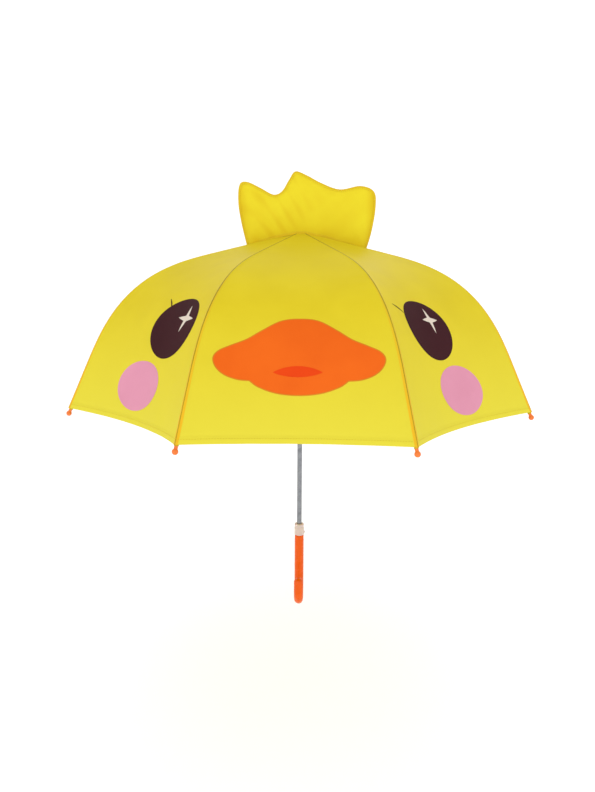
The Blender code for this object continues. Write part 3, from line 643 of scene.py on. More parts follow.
@dataclass(frozen=True)
class PanelForm:
    """How a gore lies between its two ribs. Pattern pieces are flat: x runs across, y along, z is lift.

    Across runs from -1 at the gore's first rib to 1 at the next, and along is a share of the rib's length.
    """

    line: RibLine
    sag: float = 0.0245         # of the panel's middle at the rim
    sag_power: float = 1.5
    pucker: float = 0.0011      # height of the small pulls beside a seam
    pucker_reach: float = 0.008
    fold: float = 0.010         # height of the soft folds in a panel
    fold_start: float = 0.30    # share of the rib's length
    flutter: float = 0.0034     # height of the ripples along the hem
    flutter_start: float = 0.86
    flutter_rise: float = 9.0

    def half_width(self, share: float) -> float:
        """Half of the panel's width at a share of the rib's length."""
        row = self.line.points()
        radius = float(np.interp(share, np.linspace(0.0, 1.0, len(row)), row[:, 0]))
        return radius * math.sin(HALF_GORE)

    def rib_curve(self) -> bpy.types.Object:
        """Makes the guide curve that the tree samples."""
        curve = bpy.data.curves.new("rib_line", "CURVE")
        curve.dimensions = "3D"
        rows = self.line.points()
        spline = curve.splines.new("POLY")
        spline.points.add(len(rows) - 1)
        for point, row in zip(spline.points, rows):
            point.co = (*map(float, row), 1.0)
        return placed("rib_line", curve)

    def tree(self) -> bpy.types.NodeTree:
        """Builds the tree that lays a flat pattern piece over the ribs of one gore."""
        numbers = (
            "Middle Azimuth", "Half Angle", "Sag", "Sag Power", "Pucker", "Pucker Reach", "Fold", "Flutter",
            "Seed",
        )
        inputs = {"Rib Line": "Object", **dict.fromkeys(numbers, "Float"), "Material": "Material"}
        tree, given = new_tree("lay_over_ribs", inputs)
        position = add_node(tree, "GeometryNodeInputPosition").outputs[0]
        flat = add_node(tree, "ShaderNodeSeparateXYZ", {0: position})
        guide = add_node(tree, "GeometryNodeObjectInfo", {"Object": given["Rib Line"]})
        sample = add_node(
            tree, "GeometryNodeSampleCurve",
            {"Curves": guide.outputs["Geometry"], "Factor": flat.outputs["Y"]},
            mode="FACTOR",
        )
        place = add_node(tree, "ShaderNodeSeparateXYZ", {0: sample.outputs["Position"]})
        fall = add_node(tree, "ShaderNodeSeparateXYZ", {0: sample.outputs["Tangent"]})
        known = {
            "across": flat.outputs["X"], "share": flat.outputs["Y"], "lift": flat.outputs["Z"],
            "radius": place.outputs["X"], "height": place.outputs["Z"],
            "cosine": fall.outputs["X"], "minus_sine": fall.outputs["Z"],
            "half": given["Half Angle"], "sag": given["Sag"], "power": given["Sag Power"],
            "seed": given["Seed"],
            "pucker": given["Pucker"], "reach": given["Pucker Reach"], "fold": given["Fold"],
            "flutter": given["Flutter"],
        }
        work_out(tree, known, (
            ("squared", "MULTIPLY", "across", "across"),
            ("inside", "SUBTRACT", 1.0, "squared"),
            ("grown", "POWER", "share", "power"),
            ("deep", "MULTIPLY", "sag", "grown"),
            ("sagged", "MULTIPLY", "deep", "inside"),
            ("half_sine", "SINE", "half"),
            ("half_cosine", "COSINE", "half"),
            ("half_width", "MULTIPLY", "radius", "half_sine"),
            ("side", "MULTIPLY", "half_width", "across"),
            ("off_middle", "ABSOLUTE", "across"),
            ("to_seam_share", "SUBTRACT", 1.0, "off_middle"),
            ("to_seam", "MULTIPLY", "to_seam_share", "half_width"),
            ("along", "MULTIPLY", "share", self.line.length),
            # The pulls beside a seam: nothing at the seam, most at the reach, and gone a little further in.
            ("seam_steps", "DIVIDE", "to_seam", "reach"),
            ("fading", "SUBTRACT", 1.0, "seam_steps"),
            ("faded", "EXPONENT", "fading"),
            ("seam_mask", "MULTIPLY", "seam_steps", "faded"),
            # Soft folds fall from the bend to the hem, away from the seams.
            ("below_bend", "SUBTRACT", "share", self.fold_start),
            ("below", "MAXIMUM", "below_bend", 0.0),
            ("fold_mask", "MULTIPLY", "below", "inside"),
            ("near_hem", "SUBTRACT", "share", self.flutter_start),
            ("hem_rise", "MAXIMUM", "near_hem", 0.0),
            ("hem_scaled", "MULTIPLY", "hem_rise", self.flutter_rise),
            ("hem_mask", "MULTIPLY", "hem_scaled", "inside"),
        ))
        known["raised"] = known["lift"]
        for mask, height, side_scale, along_scale, offset in (
            ("seam_mask", "pucker", 18.0, 85.0, 3.1),
            ("fold_mask", "fold", 13.0, 3.2, 7.7),
            ("hem_mask", "flutter", 30.0, 9.0, 12.9),
        ):
            work_out(tree, known, (
                ("scaled_side", "MULTIPLY", "side", side_scale),
                ("scaled_along", "MULTIPLY", "along", along_scale),
                ("shifted", "ADD", "seed", offset),
            ))
            spot = add_node(
                tree, "ShaderNodeCombineXYZ",
                {0: known["scaled_side"], 1: known["scaled_along"], 2: known["shifted"]},
            )
            noise = add_node(
                tree, "ShaderNodeTexNoise",
                {"Vector": spot.outputs[0], "Scale": 1.0, "Detail": 1.0, "Roughness": 0.4},
            )
            known["noise"] = noise.outputs[0]
            work_out(tree, known, (
                ("even", "SUBTRACT", "noise", 0.5),
                ("masked", "MULTIPLY", "even", mask),
                ("high", "MULTIPLY", "masked", height),
                ("raised", "ADD", "raised", "high"),
            ))
        work_out(tree, known, (
            ("drop", "SUBTRACT", "raised", "sagged"),
            ("drop_out", "MULTIPLY", "drop", "minus_sine"),
            ("reach_out", "MULTIPLY", "radius", "half_cosine"),
            ("out", "SUBTRACT", "reach_out", "drop_out"),
            ("drop_up", "MULTIPLY", "drop", "cosine"),
            ("up", "ADD", "height", "drop_up"),
        ))
        spot = add_node(tree, "ShaderNodeCombineXYZ", {0: known["out"], 1: known["side"], 2: known["up"]})
        spun = add_node(
            tree, "ShaderNodeVectorRotate", {"Vector": spot.outputs[0], "Angle": given["Middle Azimuth"]},
            rotation_type="Z_AXIS",
        )
        laid = add_node(
            tree, "GeometryNodeSetPosition", {"Geometry": given["Geometry"], "Position": spun.outputs[0]},
        )
        end_tree(tree, laid.outputs[0], given["Material"])
        return tree


class Layer:
    """Lays flat pattern pieces over the ribs, through the one tree."""

    def __init__(self, form: PanelForm) -> None:
        """Builds the tree and its guide curve."""
        self.form = form
        self.guide = form.rib_curve()
        self.tree = form.tree()

    def lay(self, pattern: bpy.types.Mesh, gore: int, material: str) -> bpy.types.Mesh:
        """Lays a flat pattern piece over one gore.

        Args:
            pattern: the flat piece.
            gore: the gore's number.
            material: the piece's finish.

        Returns:
            The piece as a plain mesh in its place.
        """
        form = self.form
        return run_tree(pattern, self.tree, {
            "Rib Line": self.guide, "Middle Azimuth": 2.0 * HALF_GORE * gore, "Half Angle": HALF_GORE,
            "Sag": form.sag, "Sag Power": form.sag_power, "Pucker": form.pucker,
            "Pucker Reach": form.pucker_reach, "Fold": form.fold, "Flutter": form.flutter,
            "Seed": 11.0 * gore, "Material": finish(material),
        })

    def clear(self) -> None:
        """Removes the guide curve."""
        bpy.data.objects.remove(self.guide, do_unlink=True)


@dataclass(frozen=True)
class Fold:
    """What one band of a gore is called, stands on and stands for, and how it folds in when closed."""

    name: str
    rib: str
    gore: str
    tilt: float
    keep: float


class Band(Enum):
    """The two bands of a gore, which meet at the rib's elastic bend."""

    CROWN = Fold("crown", "rib_inner", "gore_inner", 0.0, 0.04)
    SKIRT = Fold("skirt", "rib_outer", "gore_outer", -16.0, 0.07)


class Half(Enum):
    """The two halves of a gore, each of which rides on its own rib."""

    NEAR = -1
    FAR = 1


@dataclass
class Canopy:
    """Eight gores of cloth. Each is laid whole and then cut at its middle and at the ribs' bend."""

    layer: Layer
    band_share: float = 0.50
    hole_radius: float = 0.0055
    corner_gap: float = 0.0070      # from the rib's end to the cloth's corner, tied over the tip's stem
    hem_arch: float = 0.0065
    thickness: float = 0.0004
    outer_lift: float = 0.0003
    seam_groove: float = 0.0006     # how deep the line between two gores is drawn in
    seam_step: float = 0.00035      # height of the seam's turned-in cloth
    hem_width: float = 0.0080
    hem_step: float = 0.00035
    crown_rows: int = 56
    skirt_rows: int = 72
    columns: int = 26               # on each side of the middle, between the seams' strips

    @property
    def row_points(self) -> int:
        """Points in a row from rib to rib, with four beside each rib."""
        return 2 * self.columns + 7

    def hem_share(self, across: float) -> float:
        """Share of the rib's length where the hem lies."""
        return 1.0 - (self.corner_gap + self.hem_arch * (1.0 - across * across)) / self.layer.form.line.length

    def seam_widths(self, share: float) -> tuple[float, float]:
        """Half widths of the seam's stitch line and of its strip, which widens to the rim."""
        return 0.00010 + 0.00095 * (1.0 - share), 0.0018 + 0.0014 * share * share

    def rows(self, across: float) -> list[float]:
        """Shares of the rows from the crown hole to the hem: one is on the bend, four on the hem's fold."""
        line = self.layer.form.line
        start = self.hole_radius / math.cos(math.radians(line.crown_slope)) / line.length
        hem = self.hem_share(across)
        fold = hem - self.hem_width / line.length
        step = 0.0007 / line.length
        crown = np.linspace(start, self.band_share, self.crown_rows + 1)
        skirt = np.linspace(self.band_share, fold - step, self.skirt_rows + 1)[1:]
        turned_in = [fold, (fold + hem) / 2.0, hem - step, hem]
        return [*crown, *skirt, *turned_in]

    def places(self, share: float) -> list[tuple[float, float]]:
        """(across, lift) of a row's points from rib to rib."""
        half = max(self.layer.form.half_width(share), 1e-4)
        limits = (0.15 * half, 0.30 * half)
        line, strip = (min(width, limit) for width, limit in zip(self.seam_widths(share), limits))
        edge = min(strip * 1.25, 0.4 * half)
        sides = [
            (-1.0, -self.seam_groove), (-1.0 + line / half, 0.6 * self.seam_step),
            (-1.0 + strip / half, self.seam_step), (-1.0 + edge / half, 0.0),
        ]
        inner = np.linspace(-1.0 + edge / half, 1.0 - edge / half, 2 * self.columns + 1)[1:-1]
        return [*sides, *((float(x), 0.0) for x in inner), *((-x, lift) for x, lift in reversed(sides))]

    def pattern(self) -> bpy.types.Mesh:
        """Cuts one whole gore flat."""
        per_row = self.row_points
        middle_rows = self.rows(0.0)
        hem_rows = len(middle_rows) - 4
        points = []
        for index, share in enumerate(middle_rows):
            for across, lift in self.places(share):
                own = self.rows(across)[index] if self.hem_arch and index > self.crown_rows else share
                raised = max(lift, self.hem_step) if index >= hem_rows and lift >= 0.0 else lift
                points.append((across, own, raised + self.outer_lift))
        faces = [
            (row * per_row + k, (row + 1) * per_row + k, (row + 1) * per_row + k + 1, row * per_row + k + 1)
            for row in range(len(middle_rows) - 1) for k in range(per_row - 1)
        ]
        return mesh_from("gore_pattern", np.array(points), faces)

    def quarter(self, whole: bpy.types.Mesh, name: str, band: Band, half: Half) -> bpy.types.Mesh:
        """Cuts one band's half out of a laid gore and gives it the cloth's thickness.

        Args:
            whole: the laid gore.
            name: the new mesh's name.
            band: crown or skirt.
            half: near or far.

        Returns:
            The closed piece of cloth, shaded as the whole gore is.
        """
        per_row = self.row_points
        middle = per_row // 2
        total_rows = len(whole.vertices) // per_row
        first, last = (0, self.crown_rows) if band is Band.CROWN else (self.crown_rows, total_rows - 1)
        left, right = (0, middle) if half is Half.NEAR else (middle, per_row - 1)
        index = np.arange(len(whole.vertices)).reshape(total_rows, per_row)[first:last + 1, left:right + 1]
        rows, columns = index.shape
        outer, normals = points_of(whole)[index.ravel()], normals_of(whole)[index.ravel()]
        inner = outer - normals * self.thickness
        count = rows * columns
        own = np.arange(count).reshape(rows, columns)
        faces = []
        for r in range(rows - 1):
            for c in range(columns - 1):
                a, b, d, e = own[r, c], own[r + 1, c], own[r + 1, c + 1], own[r, c + 1]
                faces += [(a, b, d, e), (e + count, d + count, b + count, a + count)]
        ring = [*own[0, :], *own[1:, -1], *own[-1, -2::-1], *own[-2:0:-1, 0]]
        for a, b in zip(ring, ring[1:] + ring[:1]):
            faces.append((a, b, b + count, a + count))
        mesh = mesh_from(name, np.concatenate([outer, inner]), [tuple(map(int, f)) for f in faces])
        mesh.shade_smooth()
        all_normals = np.concatenate([normals, -normals])
        rim = len(faces) - len(ring)
        corner_normals = []
        for polygon in mesh.polygons:
            for corner in polygon.vertices:
                corner_normals.append(all_normals[corner] if polygon.index < rim else polygon.normal)
        mesh.normals_split_custom_set([tuple(map(float, n)) for n in corner_normals])
        return mesh

    def seam_strip(self, rib: int, band: Band) -> bpy.types.Mesh:
        """Lays the strip that is felled over one seam, half on each of the two gores beside the rib.

        Args:
            rib: the rib under the seam.
            band: the strip's band.

        Returns:
            The strip, with its stitch line as its second material.
        """
        hem = len(self.rows(1.0)) - 1
        first, last = (0, self.crown_rows) if band is Band.CROWN else (self.crown_rows, hem)
        form = bmesh.new()
        for gore, side in ((rib, -1.0), ((rib - 2) % RIB_COUNT + 1, 1.0)):
            points = []
            for share in self.rows(1.0)[first:last + 1]:
                half = max(self.layer.form.half_width(share), 1e-4)
                line, strip = self.seam_widths(share)
                for inset, lift in ((0.0, 0.0001), (line, 0.00045), (strip, 0.00045), (1.1 * strip, 0.0001)):
                    points.append((side * (1.0 - min(inset / half, 0.45)), share, self.outer_lift + lift))
            faces = []
            for row in range(last - first):
                for k in range(3):
                    face = (4 * row + k, 4 * row + k + 4, 4 * row + k + 5, 4 * row + k + 1)
                    faces.append(face if side < 0.0 else face[::-1])
            form.from_mesh(self.layer.lay(mesh_from("strip_pattern", np.array(points), faces), gore, "seam"))
        for index, face in enumerate(form.faces):
            face.material_index = 1 if index % 3 == 0 else 0
        bmesh.ops.remove_doubles(form, verts=form.verts, dist=1e-5)
        return mesh_of("seam_strip", form, crease=180.0)

    def fold_in(self, piece: bpy.types.Object, gore: int, band: Band, half: Half) -> None:
        """Makes a piece ride on its own rib.

        Args:
            piece: the piece, in its place.
            gore: the gore it belongs to.
            band: its band.
            half: its half.
        """
        rib = gore if half is Half.NEAR else gore % RIB_COUNT + 1
        azimuth = HALF_GORE * (2 * rib - 1)
        turn = Matrix.Rotation(azimuth, 3, "Z")
        line = self.layer.form.line
        ends = (0.03, self.band_share) if band is Band.CROWN else (self.band_share, 0.97)
        start, end = (turn @ line.at(share) for share in ends)
        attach(piece, f"{band.value.rib}_{rib}")
        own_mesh(piece)
        LOG.info("%s folds in beside rib %d", piece.name, rib)

    def build(self) -> None:
        """Makes the cloth of all gores."""
        pattern = self.pattern()
        for gore in range(1, RIB_COUNT + 1):
            whole = self.layer.lay(pattern.copy(), gore, "canopy")
            for band in Band:
                fold = band.value
                start, end = (0.0, self.band_share) if band is Band.CROWN else (self.band_share, 1.0)
                narrow, width = (self.layer.form.half_width(share) for share in (start, end))
                for half in Half:
                    label = f"{fold.name}_cloth_{gore}_{half.name.lower()}"
                    mesh = self.quarter(whole, label, band, half)
                    piece = new_piece(label, mesh, ["canopy"])
                    if half is Half.NEAR:
                        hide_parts(f"{fold.gore}_{gore}")
                    self.fold_in(piece, gore, band, half)
            bpy.data.meshes.remove(whole)
        for rib in range(1, RIB_COUNT + 1):
            for band in Band:
                colour = "canopy" if band is Band.CROWN else "seam"
                label = f"seam_strip_{band.value.name}_{rib}"
                strip = new_piece(label, self.seam_strip(rib, band), [colour, "seam_line"])
                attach(strip, f"{band.value.rib}_{rib}")


@dataclass
class HemThread:
    """Lock stitches along the hem, set by a tree that repeats one stitch."""

    canopy: Canopy
    pitch: float = 0.0032
    length: float = 0.0023
    width: float = 0.00045
    from_hem: float = 0.0062
    path_points: int = 60

    def tree(self) -> bpy.types.NodeTree:
        """Builds the tree that sets stitches along a line of edges."""
        tree, given = new_tree(
            "row_of_stitches", {"Pitch": "Float", "Stitch Size": "Vector", "Material": "Material"},
        )
        line = add_node(tree, "GeometryNodeMeshToCurve", {"Mesh": given["Geometry"]})
        spaced = add_node(
            tree, "GeometryNodeResampleCurve", {"Curve": line.outputs[0], "Length": given["Pitch"]},
            mode="LENGTH",
        )
        stitch = add_node(tree, "GeometryNodeMeshUVSphere", {"Segments": 6, "Rings": 4, "Radius": 0.5})
        along = add_node(
            tree, "FunctionNodeAlignRotationToVector",
            {"Vector": add_node(tree, "GeometryNodeInputTangent").outputs[0]}, axis="X",
        )
        stitched = add_node(
            tree, "GeometryNodeInstanceOnPoints",
            {
                "Points": spaced.outputs[0], "Instance": stitch.outputs["Mesh"],
                "Rotation": along.outputs[0], "Scale": given["Stitch Size"],
            },
        )
        end_tree(tree, stitched.outputs[0], given["Material"])
        return tree

    def sew(self, path: bpy.types.Mesh, tree: bpy.types.NodeTree) -> bpy.types.Mesh:
        """Turns a line of edges into a row of stitches."""
        size = (self.length, self.width, self.width)
        mesh = run_tree(path, tree, {"Pitch": self.pitch, "Stitch Size": size, "Material": finish("thread")})
        mesh.shade_smooth()
        return mesh

    def build(self, tree: bpy.types.NodeTree) -> None:
        """Sews the hem of every gore, in two halves."""
        canopy = self.canopy
        line = canopy.layer.form.line
        lift = canopy.outer_lift + canopy.hem_step + 0.2 * self.width
        for gore in range(1, RIB_COUNT + 1):
            for half in Half:
                places = np.linspace(0.0, 0.985 * half.value, self.path_points)
                points = [
                    (x, canopy.hem_share(x) - self.from_hem / line.length, lift) for x in map(float, places)
                ]
                edges = [(k, k + 1) for k in range(len(points) - 1)]
                path = canopy.layer.lay(mesh_from("hem_path", np.array(points), [], edges), gore, "thread")
                label = f"hem_thread_{gore}_{half.name.lower()}"
                piece = new_piece(label, self.sew(path, tree), ["thread"])
                canopy.fold_in(piece, gore, Band.SKIRT, half)


# The printed face


@dataclass(frozen=True)
class Print:
    """One printed shape on a gore, with its outline in metres across from the middle and along the rib."""

    name: str
    gore: int
    ink: str
    outline: tuple[tuple[float, float], ...]
    lift: float = 0.00045
    grid: float = 0.0045


def ellipse(
    centre: tuple[float, float], half_long: float, half_short: float, lean: float, steps: int = 64
) -> tuple:
    """Outline of an ellipse whose long axis leans towards the next rib, in degrees from the rib's line."""
    lean = math.radians(lean)
    points = []
    for step in range(steps):
        turn = 2.0 * math.pi * step / steps
        long, short = half_long * math.cos(turn), half_short * math.sin(turn)
        points.append((
            centre[0] + long * math.sin(lean) + short * math.cos(lean),
            centre[1] + long * math.cos(lean) - short * math.sin(lean),
        ))
    return tuple(points)


def smooth_outline(knots: list[tuple[float, float]], corners: set[int], steps: int = 8) -> tuple:
    """Closed outline through knots, smooth except at its corners.

    Args:
        knots: the outline's points in order.
        corners: places of the knots where it turns sharply.
        steps: points for each stretch between two knots.

    Returns:
        The outline's points.
    """
    points = []
    count = len(knots)
    for index in range(count):
        before, start, end, after = (Vector(knots[(index + k) % count]) for k in (-1, 0, 1, 2))
        leave = (end - start) if index in corners else (end - before) / 2.0
        arrive = (end - start) if (index + 1) % count in corners else (after - start) / 2.0
        for step in range(steps):
            t = step / steps
            point = (
                (2 * t**3 - 3 * t**2 + 1) * start + (t**3 - 2 * t**2 + t) * leave
                + (3 * t**2 - 2 * t**3) * end + (t**3 - t**2) * arrive
            )
            points.append((point.x, point.y))
    return tuple(points)


def grown(outline: tuple, by: float) -> tuple:
    """Moves a closed outline outwards by a distance."""
    points = np.array(outline)
    along = np.roll(points, -1, axis=0) - np.roll(points, 1, axis=0)
    out = np.stack([along[:, 1], -along[:, 0]], axis=1)
    out /= np.linalg.norm(out, axis=1)[:, None]
    area = float(np.sum(points[:, 0] * np.roll(points[:, 1], -1) - np.roll(points[:, 0], -1) * points[:, 1]))
    return tuple(map(tuple, points + (by if area > 0.0 else -by) * out))


@dataclass
class Face:
    """The duck's face: a beak on the front gore, and an eye and a cheek on the gore at each side."""

    canopy: Canopy
    outline_width: float = 0.0013

    def sparkle(self, centre: tuple[float, float], arms: tuple) -> tuple:
        """Four-pointed glint with hollow sides between its arms."""
        points = []
        for index, arm in enumerate(arms):
            following = arms[(index + 1) % len(arms)]
            for step in range(8):
                t = step / 8.0
                pull = 1.0 - 0.60 * math.sin(math.pi * t)
                points.append((
                    centre[0] + pull * ((1.0 - t) * arm[0] + t * following[0]),
                    centre[1] + pull * ((1.0 - t) * arm[1] + t * following[1]),
                ))
        return tuple(points)

    def lash(self, start: tuple[float, float], end: tuple[float, float], width: float = 0.0022) -> tuple:
        """Short curved stroke that thins to its ends."""
        first, last = Vector(start), Vector(end)
        along = last - first
        side = Vector((-along.y, along.x)).normalized()
        upper, lower = [], []
        for step in range(9):
            t = step / 8.0
            middle = first + t * along + side * -0.05 * along.length * math.sin(math.pi * t)
            half = width / 2.0 * (0.35 + 0.65 * math.sin(math.pi * t))
            upper.append(tuple(middle + half * side))
            lower.append(tuple(middle - half * side))
        return tuple(upper + lower[::-1])

    def beak(self) -> tuple:
        """Outline of the beak: a broad upper bill whose ends droop over a short lower one."""
        half = [
            (0.0220, 0.3075), (0.0440, 0.3220), (0.0615, 0.3352), (0.0800, 0.3450), (0.0935, 0.3530),
            (0.0990, 0.3620), (0.0955, 0.3725), (0.0860, 0.3805), (0.0720, 0.3850), (0.0575, 0.3858),
            (0.0470, 0.3930), (0.0260, 0.3998),
        ]
        notch = half.index((0.0575, 0.3858))
        shift = 0.0022
        right = [(x + shift, y) for x, y in half]
        left = [(shift - x, y) for x, y in reversed(half)]
        knots = [(shift, 0.3042), *right, (shift, 0.4020), *left]
        return smooth_outline(knots, {1 + notch, len(knots) - 1 - notch})

    def mouth(self) -> tuple:
        """Outline of the gap between the bills, a flat lens."""
        half, top, bottom, side, middle, steps = 0.0290, 0.0082, 0.0056, 0.0007, 0.3752, 16
        turns = [math.pi * k / steps for k in range(steps + 1)]
        over = [(side - half * math.cos(t), middle - top * math.sin(t) ** 1.8) for t in turns]
        under = [(side + half * math.cos(t), middle + bottom * math.sin(t) ** 1.6) for t in turns[1:-1]]
        return tuple(over + under)

    def prints(self) -> list[Print]:
        """Lists every printed shape."""
        beak = self.beak()
        left_arms = ((-0.0025, -0.0204), (0.0167, 0.0007), (-0.0069, 0.0202), (-0.0211, -0.0018))
        right_arms = ((-0.0037, -0.0193), (0.0157, 0.0013), (0.0025, 0.0212), (-0.0155, -0.0010))
        left_glint = self.sparkle((0.0568, 0.3094), left_arms)
        right_glint = self.sparkle((-0.0124, 0.3097), right_arms)
        left_lash = self.lash((-0.0083, 0.2770), (0.0065, 0.2945))
        right_lash = self.lash((-0.0821, 0.2860), (-0.0640, 0.2985))
        return [
            Print("beak_outline", FRONT_GORE, "beak_line", grown(beak, self.outline_width), 0.00042),
            Print("beak", FRONT_GORE, "beak", beak, 0.00054),
            Print("mouth", FRONT_GORE, "mouth", self.mouth(), 0.00066),
            Print("eye_left", LEFT_EYE_GORE, "eye", ellipse((0.0346, 0.3220), 0.0500, 0.0451, -66.1)),
            Print("eye_right", RIGHT_EYE_GORE, "eye", ellipse((-0.0226, 0.3231), 0.0489, 0.0407, 40.6)),
            Print("sparkle_left", LEFT_EYE_GORE, "sparkle", left_glint, 0.00058, 0.003),
            Print("sparkle_right", RIGHT_EYE_GORE, "sparkle", right_glint, 0.00058, 0.003),
            Print("lash_left", LEFT_EYE_GORE, "eye", left_lash, 0.00045, 0.003),
            Print("lash_right", RIGHT_EYE_GORE, "eye", right_lash, 0.00045, 0.003),
            Print("cheek_left", LEFT_EYE_GORE, "cheek", ellipse((-0.0070, 0.4087), 0.0456, 0.0337, -82.6)),
            Print("cheek_right", RIGHT_EYE_GORE, "cheek", ellipse((0.0115, 0.4118), 0.0447, 0.0327, -106.8)),
        ]

    def pattern(self, shape: Print, half: Half) -> bpy.types.Mesh | None:
        """Cuts one half of a printed shape flat, on a grid fine enough to bend with the cloth."""
        outline = list(shape.outline)
        low, high = np.min(outline, axis=0), np.max(outline, axis=0)
        columns = np.arange(math.ceil(low[0] / shape.grid), math.floor(high[0] / shape.grid) + 1) * shape.grid
        rows = np.arange(math.ceil(low[1] / shape.grid), math.floor(high[1] / shape.grid) + 1) * shape.grid
        middle = [(0.0, float(low[1]) - shape.grid), (0.0, float(high[1]) + shape.grid)]
        inside = [(float(x), float(y)) for x in columns for y in rows]
        spots, faces = cut_patch(outline, [middle] if low[0] < 0.0 < high[0] else [], inside)
        kept = [face[::-1] for face in faces if sum(spots[k].x for k in face) * half.value > 0.0]
        used = sorted({k for face in kept for k in face})
        if not used:
            return None
        place = {k: index for index, k in enumerate(used)}
        flat = []
        for k in used:
            share = spots[k].y / self.canopy.layer.form.line.length
            flat.append((spots[k].x / self.canopy.layer.form.half_width(share), share, shape.lift))
        return mesh_from(shape.name, np.array(flat), [[place[k] for k in face] for face in kept])

    def build(self) -> None:
        """Prints the face on the skirt of the front gores."""
        for shape in self.prints():
            for half in Half:
                pattern = self.pattern(shape, half)
                if pattern is None:
                    continue
                laid = self.canopy.layer.lay(pattern, shape.gore, shape.ink)
                laid.shade_smooth()
                label = f"{shape.name}_{half.name.lower()}"
                piece = new_piece(label, laid, [shape.ink])
                self.canopy.fold_in(piece, shape.gore, Band.SKIRT, half)


# The crest and the strap


def distance_to(outline: np.ndarray, point: tuple[float, float] | Vector) -> float:
    """Distance of a point from a closed outline, given as rows of points."""
    run = np.roll(outline, -1, axis=0) - outline
    offset = np.array(point) - outline
    share = np.clip(np.sum(offset * run, axis=1) / np.sum(run * run, axis=1), 0.0, 1.0)
    return float(np.min(np.linalg.norm(offset - share[:, None] * run, axis=1)))


